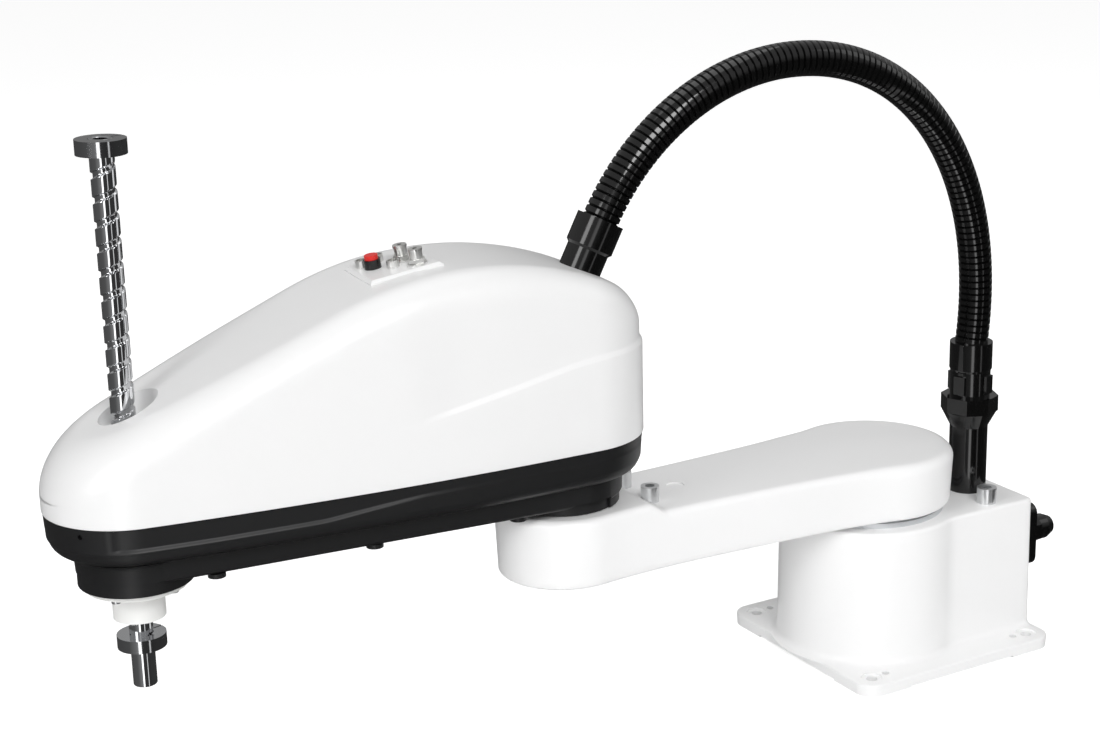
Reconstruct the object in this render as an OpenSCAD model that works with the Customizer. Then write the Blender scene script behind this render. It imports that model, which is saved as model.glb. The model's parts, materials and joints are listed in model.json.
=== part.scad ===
// Four-axis SCARA arm: cast base, two links, hollow ball-screw spline shaft
// and an overhead cable hose.
// Millimetres, Z up, base axis at the origin, mounting face at z = 0,
// arm along +X.

/* [Reach] */
// Distance from the base axis to the elbow axis.
arm1_len = 285; // [275:1:300]
// Distance from the elbow axis to the tool axis.
arm2_len = 315; // [308:1:330]
// Turn of the forearm about the elbow at rest, in degrees.
forearm_angle = -4; // [-12:1:2]

/* [Base] */
// Hole spacing of the square mounting pattern.
bolt_pitch = 160; // [160:1:164]
// Diameter of the mounting holes.
bolt_hole_d = 9; // [8.4:0.1:11]
// Metal between a mounting hole's centre and the plate's edge.
plate_margin = 16.5; // [16:0.5:20]
// Thickness of the foot plate.
plate_thick = 10; // [8:0.5:12]
// Corner radius of the foot plate.
plate_corner = 16; // [10:0.5:20]
// X position of the middle of the foot plate.
plate_x = -24; // [-26:0.5:-22]
// Radius of the round tower at its top.
tower_r = 73; // [72:0.5:76]
// Height of the base casting's top face.
base_h = 120; // [118:1:126]
// Half width of the box behind the tower.
rear_half_w = 65; // [64:0.5:67]
// Wall thickness of the base casting.
base_wall = 8; // [6:0.5:9]

/* [Upper arm] */
// Gap between the base top and the underside of the upper arm.
arm1_gap = 7; // [6:0.5:9]
// Thickness of the upper arm at the base axis.
arm1_thick = 45; // [43:0.5:48]
// Radius of the upper arm's head over the base axis.
arm1_head_r = 67; // [65:0.5:70]
// Radius of the upper arm's end under the elbow.
arm1_end_r = 51; // [49:0.5:53]
// Rise of the elbow pad above the upper arm.
pad_rise = 8; // [7:0.5:9]

/* [Forearm casting] */
// Radius of the forearm's rounded rear about the elbow.
fore_rear_r = 60; // [59.5:0.1:61]
// Radius of the forearm's nose about the tool axis.
fore_nose_r = 57; // [55:0.5:58]
// Height of the seam between casting and cover above the elbow pad.
seam_rise = 54; // [53:0.5:57]
// Wall thickness of the forearm casting.
fore_wall = 6; // [5:0.5:7]

/* [Forearm cover] */
// Height of the cover's crest above the seam.
crest_rise = 140; // [138:0.5:146]
// Distance of the crest from the elbow axis.
crest_s = 85; // [80:1:90]
// Radius of the crest seen from the side.
crest_r = 255; // [250:1:262]
// Slope of the front of the cover, in degrees.
roof_fall = 23.3; // [22.8:0.1:23.8]
// Depth of the styling step round the rear of the cover.
crease_step = 2.2; // [1:0.1:2.6]
// Wall thickness of the moulded cover.
cover_wall = 3.5; // [3:0.1:4]

/* [Tool shaft] */
// Diameter of the ball-screw spline shaft.
shaft_d = 16; // [15:0.1:16.6]
// Diameter of the hole through the shaft.
shaft_bore_d = 10; // [8:0.5:11]
// Length of the shaft.
shaft_len = 373; // [368:1:380]
// Rise of the screw groove in one turn.
screw_lead = 16; // [14:1:20]
// Height of the shaft's lower end above the mounting face.
shaft_bottom = 103.6; // [100:0.2:106]
// Diameter of the two clamp collars.
collar_d = 32.8; // [31:0.2:34]

/* [Cable hose] */
// Outer diameter of the corrugated hose.
hose_d = 27; // [26:0.5:27.5]
// Height of the hose's crown above the mounting face.
hose_crown = 490; // [480:1:500]
// X position of the conduit on the base.
conduit_x = -91; // [-92:0.5:-89]
// Y position of the conduit on the base.
conduit_y = 14.5; // [12:0.5:16]

/* [Brake button] */
// Diameter of the button's bezel.
bezel_d = 11.8; // [10:0.2:13]
// Travel of the button.
button_travel = 2.5; // [2:0.1:3]

/* [Hidden] */
$fn = 64;
// Radial clearance of a turning or sliding fit.
run_fit = 0.05;
// Clearance of a part that is pushed into a hole and stays there.
seat_fit = 0.02;
// Overlap that keeps a cut clean.
cut = 1;

plate_half = bolt_pitch / 2 + plate_margin;
rear_x = plate_x - plate_half;
tower_taper = 1.6;
foot_fillet = 6;
s_curve_r = 30;
base_edge = 3;
rear_corner = 6;
relief = 2;
cbore_d = 16.5;
cbore_depth = 1.5;
dowel_d = 6;
dowel_inset = 14;
reducer_r = 50;
reducer_flange_r = 60;
reducer_flange_h = 4;
reducer_depth = 30;
hub_r = 30;
conduit_bore_r = 11.5;
conduit_spigot_r = 13;
window_w = 64;
window_z0 = 66;
window_h = 36;
stop_x = -81.6;
stop_y = 50.6;
stop_head_r = 8;
stop_head_h = 13;
stop_shank_r = 5;

arm1_z0 = base_h + arm1_gap;
arm1_top = arm1_z0 + arm1_thick;
pad_z = arm1_top + pad_rise;
waist_x = 130;
waist_y = 50.7;
waist_slope = -0.06;
head_tangent = 75;
end_tangent = 97;
ramp_mid = arm1_len - 55;
ramp_half = 9;
arm_bolt_back = 63;
arm_bolt_y = 20;
arm_bolt_r = 7;
arm_bolt_top = pad_z + 4.2;
post_r = 25;
post_flange_r = 34;
post_flange_h = 7;
post_h = 35;

seam_z = pad_z + seam_rise;
floor_top = pad_z + 24;
floor_low = pad_z + 23;
keel_low = pad_z + 6.7;
neck_gap = 0.8;
neck_r = 41.5;
neck_bore_r = 37;
neck_low_top = keel_low + 3.6;
gear2_r = 36;
gear2_low = pad_z + 14;
nose_neck_r = 38.3;
bearing_r = 22;
nut_r = 16;
shaft_r = shaft_d / 2;
crest_z = seam_z + crest_rise;
fall_s = crest_s + crest_r * sin(roof_fall);
pocket_r = 27;
pocket_z = seam_z + 49;
pocket_wall = 3.5;
shaft_hole_r = 10.5;

// Heights of the drive in the nose.
theta_belt_z = floor_top + 6;
z_belt_z = floor_top + 39;
belt_h = 10;
belt_t = 1.5;
pulley_h = 14;
theta_big_r = 26;
z_big_r = 24;
small_r = 14;
theta_motor_s = 185;
z_motor_s = 235;
motor_w = 40;

// Cable route in the forearm frame.
entry_s = -18;
entry_tilt = 26.8;
sleeve_reach = 34.4;
hose_r = hose_d / 2;
sleeve_r = hose_r + 4;
upper_tube_r = 15.5;
conduit_top = base_h + 82;
hose_start = base_h + 127;
hose_seat = 12;

// Panel on the crest.
panel_s0 = crest_s + 12;
panel_s1 = panel_s0 + 53;
panel_half_w = 25.7;
panel_h = 3;
button_s = 137;
button_n = -4.5;

// ---- outlines: lists of [x, y, normal x, normal y], front to rear ----

function arc_frames(cx, cy, r, a, b, n) =
    [for (i = [0:n - 1]) let (t = a + (b - a) * (i + 0.5) / n)
        [cx + r * cos(t), cy + r * sin(t), cos(t), sin(t)]];

// Height and slope of a cubic through [x, y, slope] points p and q.
function cubic(p, q, x) =
    let (h = q[0] - p[0], t = (x - p[0]) / h,
         dy = (q[1] - p[1]) / h)
    [p[1] * (1 - t) + q[1] * t
        + h * t * (1 - t) * ((p[2] - dy) * (1 - t) - (q[2] - dy) * t),
     dy + (p[2] - dy) * (1 - t) * (1 - 3 * t)
        + (q[2] - dy) * t * (3 * t - 2)];

function flank_frame(x, ys) =
    let (m = sqrt(1 + ys[1] * ys[1])) [x, ys[0], -ys[1] / m, 1 / m];

function smooth(t) = let (u = max(0, min(1, t))) u * u * (3 - 2 * u);

// Both sides of an outline, moved inwards by d and lifted to z.
function close_ring(half) =
    concat(half, [for (i = [len(half) - 1:-1:0])
                     [half[i][0], -half[i][1], half[i][2]]]);
function ring(fr, d, z) =
    close_ring([for (q = fr)
        [q[0] - d * (d < 0 ? max(q[2], 0) : q[2]), q[1] - d * q[3], z]]);

// ---- closed surfaces through rings of equal length ----

function walls(n, k, at, out) =
    [for (r = [0:k - 2]) for (i = [0:n - 1])
        let (a = at + r * n + i, b = at + r * n + (i + 1) % n)
        each out ? [[a, a + n, b + n], [a, b + n, b]]
                 : [[a, b + n, a + n], [a, b, b + n]]];
function cap(n, at, up) =
    [for (i = [0:n / 2 - 2])
        let (a = at + i, b = a + 1, c = at + n - 2 - i, d = c + 1)
        up ? [d, c, b, a] : [a, b, c, d]];
function flat(l) = [for (a = l) for (b = a) b];

module loft(rings) {
    n = len(rings[0]);
    k = len(rings);
    polyhedron(points = flat(rings),
               faces = concat(walls(n, k, 0, true), cap(n, 0, false),
                              cap(n, (k - 1) * n, true)),
               convexity = 6);
}

// A cup turned upside down: outer rings and inner rings, both from low to
// high, joined along their first rings.
module shell(outer, inner) {
    n = len(outer[0]);
    k = len(outer);
    m = len(inner);
    polyhedron(points = concat(flat(outer), flat(inner)),
               faces = concat(walls(n, k, 0, true),
                              cap(n, (k - 1) * n, true),
                              walls(n, m, k * n, false),
                              cap(n, (k + m - 1) * n, false),
                              [for (i = [0:n - 1]) let (j = (i + 1) % n)
                                  each [[i, j, k * n + j],
                                        [i, k * n + j, k * n + i]]]),
               convexity = 8);
}

// ---- small shapes ----

module tube(r, bore, z0, z1) {
    translate([0, 0, z0]) difference() {
        cylinder(r = r, h = z1 - z0);
        translate([0, 0, -cut]) cylinder(r = bore, h = z1 - z0 + 2 * cut);
    }
}

module rod(r, z0, z1) {
    translate([0, 0, z0]) cylinder(r = r, h = z1 - z0);
}

module rounded_plate(x, y, r, h) {
    linear_extrude(height = h) union() {
        square([x - 2 * r, y], center = true);
        square([x, y - 2 * r], center = true);
        for (i = [-1, 1]) for (j = [-1, 1])
            translate([i * (x / 2 - r), j * (y / 2 - r)]) circle(r = r);
    }
}

// Socket head screw, seat at z = 0, head up.
module socket_screw(head_r, head_h, shank_r, shank_l) {
    difference() {
        union() {
            cylinder(r = head_r, h = head_h);
            translate([0, 0, -shank_l]) cylinder(r = shank_r, h = shank_l);
        }
        translate([0, 0, head_h * 0.45])
            cylinder(r = head_r * 0.56, h = head_h, $fn = 6);
    }
}

module forearm() {
    translate([arm1_len, 0, 0]) rotate([0, 0, forearm_angle]) children();
}

// ---- base ----

function tower_frames() =
    let (cy = rear_half_w + s_curve_r,
         cx = -sqrt(pow(tower_r + s_curve_r, 2) - cy * cy),
         a = atan2(cy, cx))
    concat(arc_frames(0, 0, tower_r, 0, a, 20),
           [for (q = arc_frames(cx, cy, s_curve_r, a + 180, 270, 4))
               [q[0], q[1], -q[2], -q[3]]],
           arc_frames(rear_x + rear_corner, rear_half_w - rear_corner,
                      rear_corner, 90, 180, 3));

module tower() {
    fr = tower_frames();
    foot = tower_taper + foot_fillet;
    loft(concat(
        [ring(fr, -foot, plate_thick - cut)],
        [for (a = [0:30:90])
            ring(fr, -tower_taper - foot_fillet * (1 - sin(a)),
                 plate_thick + foot_fillet * (1 - cos(a)))],
        [for (a = [0:30:90])
            ring(fr, base_edge * (1 - cos(a)),
                 base_h - base_edge * (1 - sin(a)))]));
}

module at_bolts() {
    for (i = [-1, 1]) for (j = [-1, 1])
        translate([plate_x + i * bolt_pitch / 2, j * bolt_pitch / 2, 0])
            children();
}

module base_casting() {
    inner_r = tower_r - base_wall;
    color("white") difference() {
        union() {
            translate([plate_x, 0, 0])
                rounded_plate(2 * plate_half, 2 * plate_half,
                              plate_corner, plate_thick);
            tower();
        }
        translate([0, 0, -cut])
            cylinder(r = inner_r, h = base_h - base_wall + cut);
        translate([rear_x + base_wall, -rear_half_w + base_wall, -cut])
            cube([-rear_x - base_wall, 2 * (rear_half_w - base_wall),
                  base_h - base_wall + cut]);
        // Relief between the corner pads.
        translate([plate_x - plate_half - cut, -plate_half + 44, -cut])
            cube([2 * plate_half + 2 * cut, 2 * plate_half - 88,
                  relief + cut]);
        translate([plate_x - plate_half + 44, -plate_half - cut, -cut])
            cube([2 * plate_half - 88, 2 * plate_half + 2 * cut,
                  relief + cut]);
        at_bolts() {
            translate([0, 0, -cut])
                cylinder(d = bolt_hole_d, h = plate_thick + 2 * cut);
            translate([0, 0, plate_thick - cbore_depth])
                cylinder(d = cbore_d, h = cbore_depth + cut);
        }
        for (i = [-1, 1]) for (j = [-1, 1])
            translate([plate_x + i * (bolt_pitch / 2 - dowel_inset),
                       j * bolt_pitch / 2, -cut])
                cylinder(d = dowel_d, h = plate_thick + 2 * cut);
        translate([0, 0, base_h - base_wall - cut])
            cylinder(r = reducer_r + seat_fit, h = base_wall + 2 * cut);
        translate([conduit_x, conduit_y, base_h - base_wall - cut])
            cylinder(r = conduit_spigot_r + seat_fit,
                     h = base_wall + 2 * cut);
        for (j = [-1, 1])
            translate([stop_x, j * stop_y, base_h - base_wall - cut])
                cylinder(r = stop_shank_r + seat_fit,
                         h = base_wall + 2 * cut);
        translate([rear_x - cut, -window_w / 2, window_z0])
            cube([base_wall + 2 * cut, window_w, window_h]);
    }
}

module base_stop_bolts() {
    color("silver") for (j = [-1, 1])
        translate([stop_x, j * stop_y, base_h])
            socket_screw(stop_head_r, stop_head_h, stop_shank_r, base_wall);
}

connector_y0 = -46;
connector_y1 = 59;
connector_z0 = 57;
connector_z1 = 110;
connector_t = 10;
gland_y = 45;
gland_z = 84;

module rear_connector_plate() {
    w = connector_y1 - connector_y0;
    h = connector_z1 - connector_z0;
    color("black") difference() {
        translate([rear_x, (connector_y0 + connector_y1) / 2,
                   (connector_z0 + connector_z1) / 2])
            rotate([0, -90, 0]) rounded_plate(h, w, 8, connector_t);
        translate([rear_x + cut, -window_w / 2 + 2, window_z0 + 2])
            rotate([0, 0, 90])
                cube([window_w - 4, connector_t - 2, window_h - 4]);
        translate([rear_x - connector_t - cut, gland_y, gland_z])
            rotate([0, 90, 0])
                cylinder(r = 7 + seat_fit, h = connector_t + 2 * cut);
    }
}

module rear_cable_gland() {
    color("black")
        translate([rear_x - connector_t, gland_y, gland_z])
            rotate([0, -90, 0]) difference() {
                union() {
                    translate([0, 0, -connector_t])
                        cylinder(r = 7, h = connector_t);
                    cylinder(r = 12.5, h = 9, $fn = 6);
                    translate([0, 0, 9]) cylinder(r = 10.5, h = 9);
                    translate([0, 0, 18]) cylinder(r1 = 10.5, r2 = 7.5,
                                                   h = 7);
                }
                translate([0, 0, -connector_t - cut])
                    cylinder(r = 4.5, h = 40);
            }
}

module j1_motor() {
    w = 60;
    top = base_h - reducer_depth;
    color("dimgray") union() {
        translate([-w / 2, -w / 2, top - 76]) cube([w, w, 66]);
        translate([-w / 2 - 3, -w / 2 - 3, top - 10])
            cube([w + 6, w + 6, 10]);
    }
}

module j1_reducer() {
    color("silver") difference() {
        union() {
            rod(reducer_r, base_h - reducer_depth, base_h);
            rod(reducer_flange_r, base_h, base_h + reducer_flange_h);
        }
        translate([0, 0, base_h - reducer_depth + 8])
            cylinder(r = hub_r + run_fit, h = reducer_depth + 8);
    }
}

module conduit_tube() {
    color("black") translate([conduit_x, conduit_y, 0])
        rotate_extrude() polygon([
            [conduit_bore_r, base_h - base_wall],
            [conduit_spigot_r, base_h - base_wall],
            [conduit_spigot_r, base_h], [15.7, base_h],
            [15.7, base_h + 56], [22.6, base_h + 69],
            [conduit_bore_r, base_h + 69]]);
}

module conduit_nut() {
    color("black") translate([conduit_x, conduit_y, base_h + 69])
        difference() {
            cylinder(r = 23.6, h = 13, $fn = 8);
            translate([0, 0, -cut])
                cylinder(r = conduit_bore_r, h = 13 + 2 * cut);
        }
}

module hose_lower_fitting() {
    color("black") translate([conduit_x, conduit_y, 0]) {
        rotate_extrude() polygon([
            [conduit_bore_r, conduit_top], [16.5, conduit_top],
            [16.5, conduit_top + 21], [sleeve_r, conduit_top + 23],
            [sleeve_r, hose_start], [hose_r, hose_start],
            [hose_r, hose_start - hose_seat],
            [conduit_bore_r, hose_start - hose_seat]]);
        for (a = [0:90:270]) rotate([0, 0, a + 20])
            translate([14, -5, conduit_top + 3]) cube([4.2, 10, 15]);
    }
}

// ---- hose: two cubic curves that meet at the crown ----

function turned(p) =
    [arm1_len + p[0] * cos(forearm_angle) - p[1] * sin(forearm_angle),
     p[0] * sin(forearm_angle) + p[1] * cos(forearm_angle), p[2]];
function roof(s) =
    s < fall_s
    ? crest_z - crest_r + sqrt(pow(crest_r, 2) - pow(s - crest_s, 2))
    : crest_z - crest_r * (1 - cos(roof_fall))
      - (s - fall_s) * tan(roof_fall);
entry_z = roof(entry_s) + 1.3;
entry = turned([entry_s, 0, entry_z]);
entry_dir = turned([entry_s - sin(entry_tilt), 0,
                    entry_z + cos(entry_tilt)]) - entry;
hose_a = [conduit_x, conduit_y, hose_start];
hose_end = entry + sleeve_reach * entry_dir;
plan = [hose_end[0] - hose_a[0], hose_end[1] - hose_a[1], 0];
plan_dir = plan / norm(plan);
crown = [conduit_x, conduit_y, hose_crown] + 177 * plan_dir;
curve_a = [hose_a, hose_a - 9 * plan_dir + [0, 0, 138],
           crown - 115 * plan_dir, crown];
curve_b = [crown, crown + 68 * plan_dir,
           hose_end + 75 * entry_dir, hose_end];

function bezier(c, t) =
    let (u = 1 - t)
    u * u * u * c[0] + 3 * u * u * t * c[1] + 3 * u * t * t * c[2]
    + t * t * t * c[3];

module cable_hose() {
    sides = 10;
    side_dir = cross(plan_dir, [0, 0, 1]);
    path = concat([hose_a - [0, 0, hose_seat]],
                  [for (i = [0:24]) bezier(curve_a, i / 24)],
                  [for (i = [1:18]) bezier(curve_b, i / 18)],
                  [hose_end - hose_seat * entry_dir]);
    n = len(path);
    tang = [for (i = [0:n - 1])
        let (v = path[min(i + 1, n - 1)] - path[max(i - 1, 0)])
        v / norm(v)];
    upward = [for (t = tang) let (v = cross(t, side_dir)) v / norm(v)];
    pts = [for (i = [0:n - 1]) for (j = [0:sides - 1])
        path[i] + (hose_r - 0.02)
        * (cos(360 * (j + 0.5) / sides) * cross(upward[i], tang[i])
           + sin(360 * (j + 0.5) / sides) * upward[i])];
    color("black")
        polyhedron(points = pts,
                   faces = concat(walls(sides, n, 0, true),
                                  cap(sides, 0, false),
                                  cap(sides, (n - 1) * sides, true)),
                   convexity = 6);
}

// ---- upper arm ----

function arm1_side(x) =
    let (head = [arm1_head_r * cos(head_tangent),
                 arm1_head_r * sin(head_tangent),
                 -1 / tan(head_tangent)],
         waist = [waist_x, waist_y, waist_slope],
         tip = [arm1_len + arm1_end_r * cos(end_tangent),
                arm1_end_r * sin(end_tangent), -1 / tan(end_tangent)])
    x < waist_x ? cubic(head, waist, x) : cubic(waist, tip, x);
function arm1_frames() =
    concat(arc_frames(arm1_len, 0, arm1_end_r, 0, end_tangent, 12),
           [for (x = concat([for (k = [1:3]) ramp_mid + 45 - 9 * k],
                            [for (k = [0:6]) ramp_mid + 9 - 3 * k],
                            [for (k = [1:13])
                                ramp_mid - 9 - k * (ramp_mid - 26) / 14]))
               flank_frame(x, arm1_side(x))],
           arc_frames(0, 0, arm1_head_r, head_tangent, 180, 14));
function arm1_roof(x) =
    arm1_top + pad_rise
    * smooth((x - ramp_mid + ramp_half) / (2 * ramp_half));
function arm1_edge(x) = 5.5 + 3 * smooth((60 - x) / 40);

module arm_1_casting() {
    fr = arm1_frames();
    color("white") difference() {
        loft(concat(
            [ring(fr, 3.5, arm1_z0), ring(fr, 1.8, arm1_z0 + 2)],
            [for (a = [0:30:90])
                close_ring([for (q = fr)
                    let (r = arm1_edge(q[0]), d = r * (1 - cos(a)),
                         x = q[0] - d * q[2])
                    [x, q[1] - d * q[3],
                     arm1_roof(x) - r * (1 - sin(a))]])]));
        // Pockets in the underside.
        for (x = [72, arm1_len - 139])
            translate([x, -34, arm1_z0 - cut])
                cube([68, 68, arm1_thick - 8 + cut]);
        translate([0, 0, arm1_z0 - cut])
            cylinder(r = 25 + seat_fit, h = 8 + cut);
        translate([0, 0, arm1_z0 - cut])
            cylinder(r = conduit_bore_r, h = 24 + cut);
        translate([arm1_len, 0, arm1_z0 + 8])
            cylinder(r = 18, h = arm1_thick);
        // Stop bolts: shank holes and spot faces cut into the ramp.
        for (j = [-1, 1])
            translate([arm1_len - arm_bolt_back, j * arm_bolt_y, 0]) {
                translate([0, 0, arm1_top - 9])
                    cylinder(r = 4 + seat_fit, h = 20);
                translate([0, 0, arm1_top])
                    cylinder(r = arm_bolt_r + 0.5, h = 20);
            }
        // Round plug recess between the bolts and the base axis.
        translate([ramp_mid - 43, 0, arm1_top - 1])
            cylinder(r = 7, h = 20);
    }
}

module j1_output_hub() {
    color("silver") difference() {
        union() {
            rod(hub_r, base_h - reducer_depth + 10, arm1_z0);
            rod(55, base_h + reducer_flange_h + 0.3, arm1_z0);
            rod(25, arm1_z0, arm1_z0 + 8);
        }
        translate([0, 0, base_h - reducer_depth])
            cylinder(r = conduit_bore_r, h = 80);
    }
}

module arm_stop_bolts() {
    color("silver") for (j = [-1, 1])
        translate([arm1_len - arm_bolt_back, j * arm_bolt_y, arm1_top])
            socket_screw(arm_bolt_r, arm_bolt_top - arm1_top, 4, 8);
}

module j2_post() {
    color("silver") translate([arm1_len, 0, 0]) difference() {
        union() {
            rod(post_flange_r, pad_z, pad_z + post_flange_h);
            rod(post_r, pad_z + post_flange_h, pad_z + post_h);
        }
        translate([0, 0, pad_z - cut])
            cylinder(r = 10, h = post_h + 2 * cut);
        for (a = [0:60:300]) rotate([0, 0, a])
            translate([29.5, 0, pad_z - cut])
                cylinder(r = 2.5 + seat_fit, h = post_flange_h + 2 * cut);
    }
}

module j2_post_screws() {
    color("silver") for (a = [0:60:300])
        translate([arm1_len, 0, pad_z + post_flange_h]) rotate([0, 0, a])
            translate([29.5, 0, 0])
                socket_screw(4.25, 5, 2.5, post_flange_h);
}

// ---- forearm ----

function fore_side(s) =
    let (a0 = 94, a1 = 85)
    cubic([fore_rear_r * cos(a0), fore_rear_r * sin(a0), -1 / tan(a0)],
          [arm2_len + fore_nose_r * cos(a1), fore_nose_r * sin(a1),
           -1 / tan(a1)], s);
fore_frames =
    concat(arc_frames(arm2_len, 0, fore_nose_r, 0, 85, 12),
           [for (k = [1:14]) let (s = arm2_len + 2 - k * (arm2_len + 4) / 15)
               flank_frame(s, fore_side(s))],
           arc_frames(0, 0, fore_rear_r, 94, 180, 13));
function keel_frames(rise) =
    let (r0 = neck_r + 2.9, r1 = nose_neck_r + 1.3)
    concat(arc_frames(arm2_len, 0, r1 + rise, 0, 91, 10),
           [for (k = [1:4]) let (t = k / 5)
               flank_frame(arm2_len * (1 - t),
                           [r1 + rise + (r0 - r1) * t,
                            (r1 - r0) / arm2_len])],
           arc_frames(0, 0, r0 + rise, 91, 180, 10));

boss_s = [51, 159, arm2_len - 45];
boss_n = 33;

// Height, from the seam, of the ledge above which the skin is set back.
ledge_pts = [[-60, -8.7], [63, -8.7], [97, -9.1], [133, -9.7], [167, -12.5],
             [201, -15.8], [277, -16.6], [400, -16.6]];
function ledge_in(s) = 2 * smooth((s - 60) / 130)
    * (1 - smooth((s - arm2_len - 22) / 6));
function skin_row(d, rise) =
    close_ring([for (q = fore_frames)
        let (e = d + (rise > 0 ? ledge_in(q[0]) : 0))
        [q[0] - e * q[2], q[1] - e * q[3],
         seam_z + min(0, along(ledge_pts, min(q[0], 399)) + rise)]]);

module forearm_casting() {
    keel = keel_frames(0);
    color("dimgray") forearm() difference() {
        union() {
            loft([ring(fore_frames, 20, floor_low - 0.3),
                  ring(fore_frames, 15, floor_low + 1),
                  ring(fore_frames, 6.5, floor_low + 5.5),
                  ring(fore_frames, 3, floor_low + 11),
                  skin_row(1.6, 0),
                  skin_row(1.5, 2.6),
                  skin_row(0.6, 40)]);
            loft([ring(keel, 3.5, keel_low),
                  ring(keel, 0.8, keel_low + 3.5),
                  ring(keel, 0, floor_low + 3)]);
            rod(neck_r, pad_z + neck_gap, floor_top);
            translate([arm2_len, 0, 0]) {
                rod(nose_neck_r, pad_z, floor_top);
            }
        }
        // Inside of the tray.
        loft([ring(fore_frames, fore_wall + 13, floor_top),
              ring(fore_frames, fore_wall + 6, floor_top + 6),
              ring(fore_frames, fore_wall + 2.2, floor_top + 13),
              ring(fore_frames, fore_wall + 1, seam_z + cut)]);
        translate([62, -28, keel_low + 4])
            cube([72, 56, floor_top]);
        translate([138, -28, keel_low + 4])
            cube([72, 56, floor_top]);
        translate([0, 0, pad_z - cut])
            cylinder(r = neck_bore_r, h = gear2_low - pad_z + cut);
        translate([0, 0, pad_z])
            cylinder(r = gear2_r + seat_fit, h = seam_rise);
        translate([arm2_len, 0, pad_z - cut])
            cylinder(r = bearing_r + seat_fit, h = seam_rise);
        // Small blind hole in the side of the nose.
        translate([arm2_len, 0, seam_z - 5.6]) rotate([0, 0, 41])
            translate([fore_nose_r - 4, 0, 0])
                rotate([0, 90, 0]) cylinder(r = 1.8, h = 20);
        // Shallow windows in the neck.
        intersection() {
            tube(neck_r + cut, neck_r - 2, pad_z + neck_gap, neck_low_top);
            for (j = [-1, 1])
                linear_extrude(height = neck_low_top + cut)
                    polygon([[0, 0], [70, j * 52.7], [0, j * 80],
                             [-45, j * 74.9]]);
        }
        for (s = boss_s) for (j = [-1, 1])
            translate([s, j * boss_n, keel_low - cut])
                cylinder(r = 2 + seat_fit, h = 7 + cut);
    }
}

module underside_screws() {
    color("dimgray") forearm()
        for (s = boss_s) for (j = [-1, 1])
            translate([s, j * boss_n, keel_low]) rotate([180, 0, 0])
                socket_screw(6, 3, 2, 6);
}

// Height of the styling step along the cover.
crease_pts = [[-60, 304], [8, 303], [50, 293], [90, 286], [120, 280],
              [200, 268], [300, 252], [375, 244]];
function along(t, x) =
    x <= t[0][0] ? t[0][1]
    : [for (i = [0:len(t) - 2])
        if (x > t[i][0] && x <= t[i + 1][0])
            t[i][1] + (t[i + 1][1] - t[i][1])
            * (x - t[i][0]) / (t[i + 1][0] - t[i][0])][0];
function crease_z(s) = along(crease_pts, min(s, 374)) - 234 + seam_z;
function crease_in(s) = crease_step * (1 - smooth((s - 100) / 45));
function shoulder(s) = 20 + 2 * smooth((s + 30) / 60)
    + 6 * smooth((s - 230) / 120);

function cover_row(a, wall) =
    close_ring([for (q = fore_frames)
        let (r = shoulder(q[0]) - wall,
             d = crease_in(q[0]) + wall + r * (1 - cos(a)),
             s = q[0] - d * q[2])
        [s, q[1] - d * q[3], roof(s) - wall - r * (1 - sin(a))]]);
function crease_row(wall, up) =
    close_ring([for (q = fore_frames)
        let (d = wall)
        [q[0] - d * q[2], q[1] - d * q[3], crease_z(q[0]) + up]]);
cover_outer = concat([ring(fore_frames, 0, seam_z),
                      crease_row(0, -1.5)],
                     [for (a = [0, 20, 40, 60, 75, 90]) cover_row(a, 0)]);

module cover_seat_frame() {
    rise = roof(panel_s0) - roof(panel_s1);
    translate([panel_s0, 0, roof(panel_s0)])
        rotate([0, atan2(rise, panel_s1 - panel_s0), 0])
            children();
}

module forearm_cover() {
    inner = concat([ring(fore_frames, crease_step + cover_wall, seam_z)],
                   [for (a = [0, 45, 90]) cover_row(a, cover_wall)]);
    color("white") forearm() difference() {
        union() {
            shell(cover_outer, inner);
            intersection() {
                loft(cover_outer);
                translate([arm2_len, 0, pocket_z - pocket_wall])
                    cylinder(r = pocket_r + pocket_wall, h = 60);
            }
        }
        translate([arm2_len, 0, pocket_z])
            cylinder(r = pocket_r, h = 60);
        translate([arm2_len, 0, pocket_z - pocket_wall - cut])
            cylinder(r = shaft_hole_r, h = pocket_wall + 2 * cut);
        translate([entry_s, 0, entry_z]) rotate([0, -entry_tilt, 0])
            translate([0, 0, -16])
                cylinder(r = upper_tube_r + seat_fit, h = 32);
        cover_seat_frame()
            translate([-0.2, -panel_half_w - 0.2, 0])
                cube([53.6 + 0.4, 2 * panel_half_w + 0.4, 8]);
    }
}

module top_panel() {
    x = 53.6;
    w = panel_half_w;
    color("white") forearm() cover_seat_frame() difference() {
        loft([for (r = [[0, 0], [0, 1.2], [2.2, panel_h]])
            close_ring([[x - r[0], w - r[0], r[1]],
                        [r[0], w - r[0], r[1]]])]);
        at_panel(button_s, button_n)
            translate([0, 0, -cut]) cylinder(r = 4 + seat_fit, h = 6);
        for (p = tall_spots) at_panel(p[0], p[1])
            translate([0, 0, -cut]) cylinder(r = 3 + seat_fit, h = 6);
        for (p = small_spots) at_panel(p[0], p[1])
            translate([0, 0, -cut]) cylinder(r = 2.5 + seat_fit, h = 6);
    }
}

tall_spots = [[116, -3], [112, 15.5]];
small_spots = [[126, 6], [141.5, -14], [129, -17]];

module at_panel(s, n) {
    translate([s - panel_s0, n, 0]) children();
}

module on_panel(s, n) {
    forearm() cover_seat_frame() at_panel(s, n)
        translate([0, 0, panel_h]) children();
}

module button_bezel() {
    color("black") on_panel(button_s, button_n) {
        difference() {
            union() {
                cylinder(d = bezel_d, h = 6.5);
                translate([0, 0, -panel_h]) cylinder(r = 4, h = panel_h);
            }
            translate([0, 0, 1]) cylinder(r = 4.7 + run_fit, h = 10);
        }
    }
}

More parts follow.
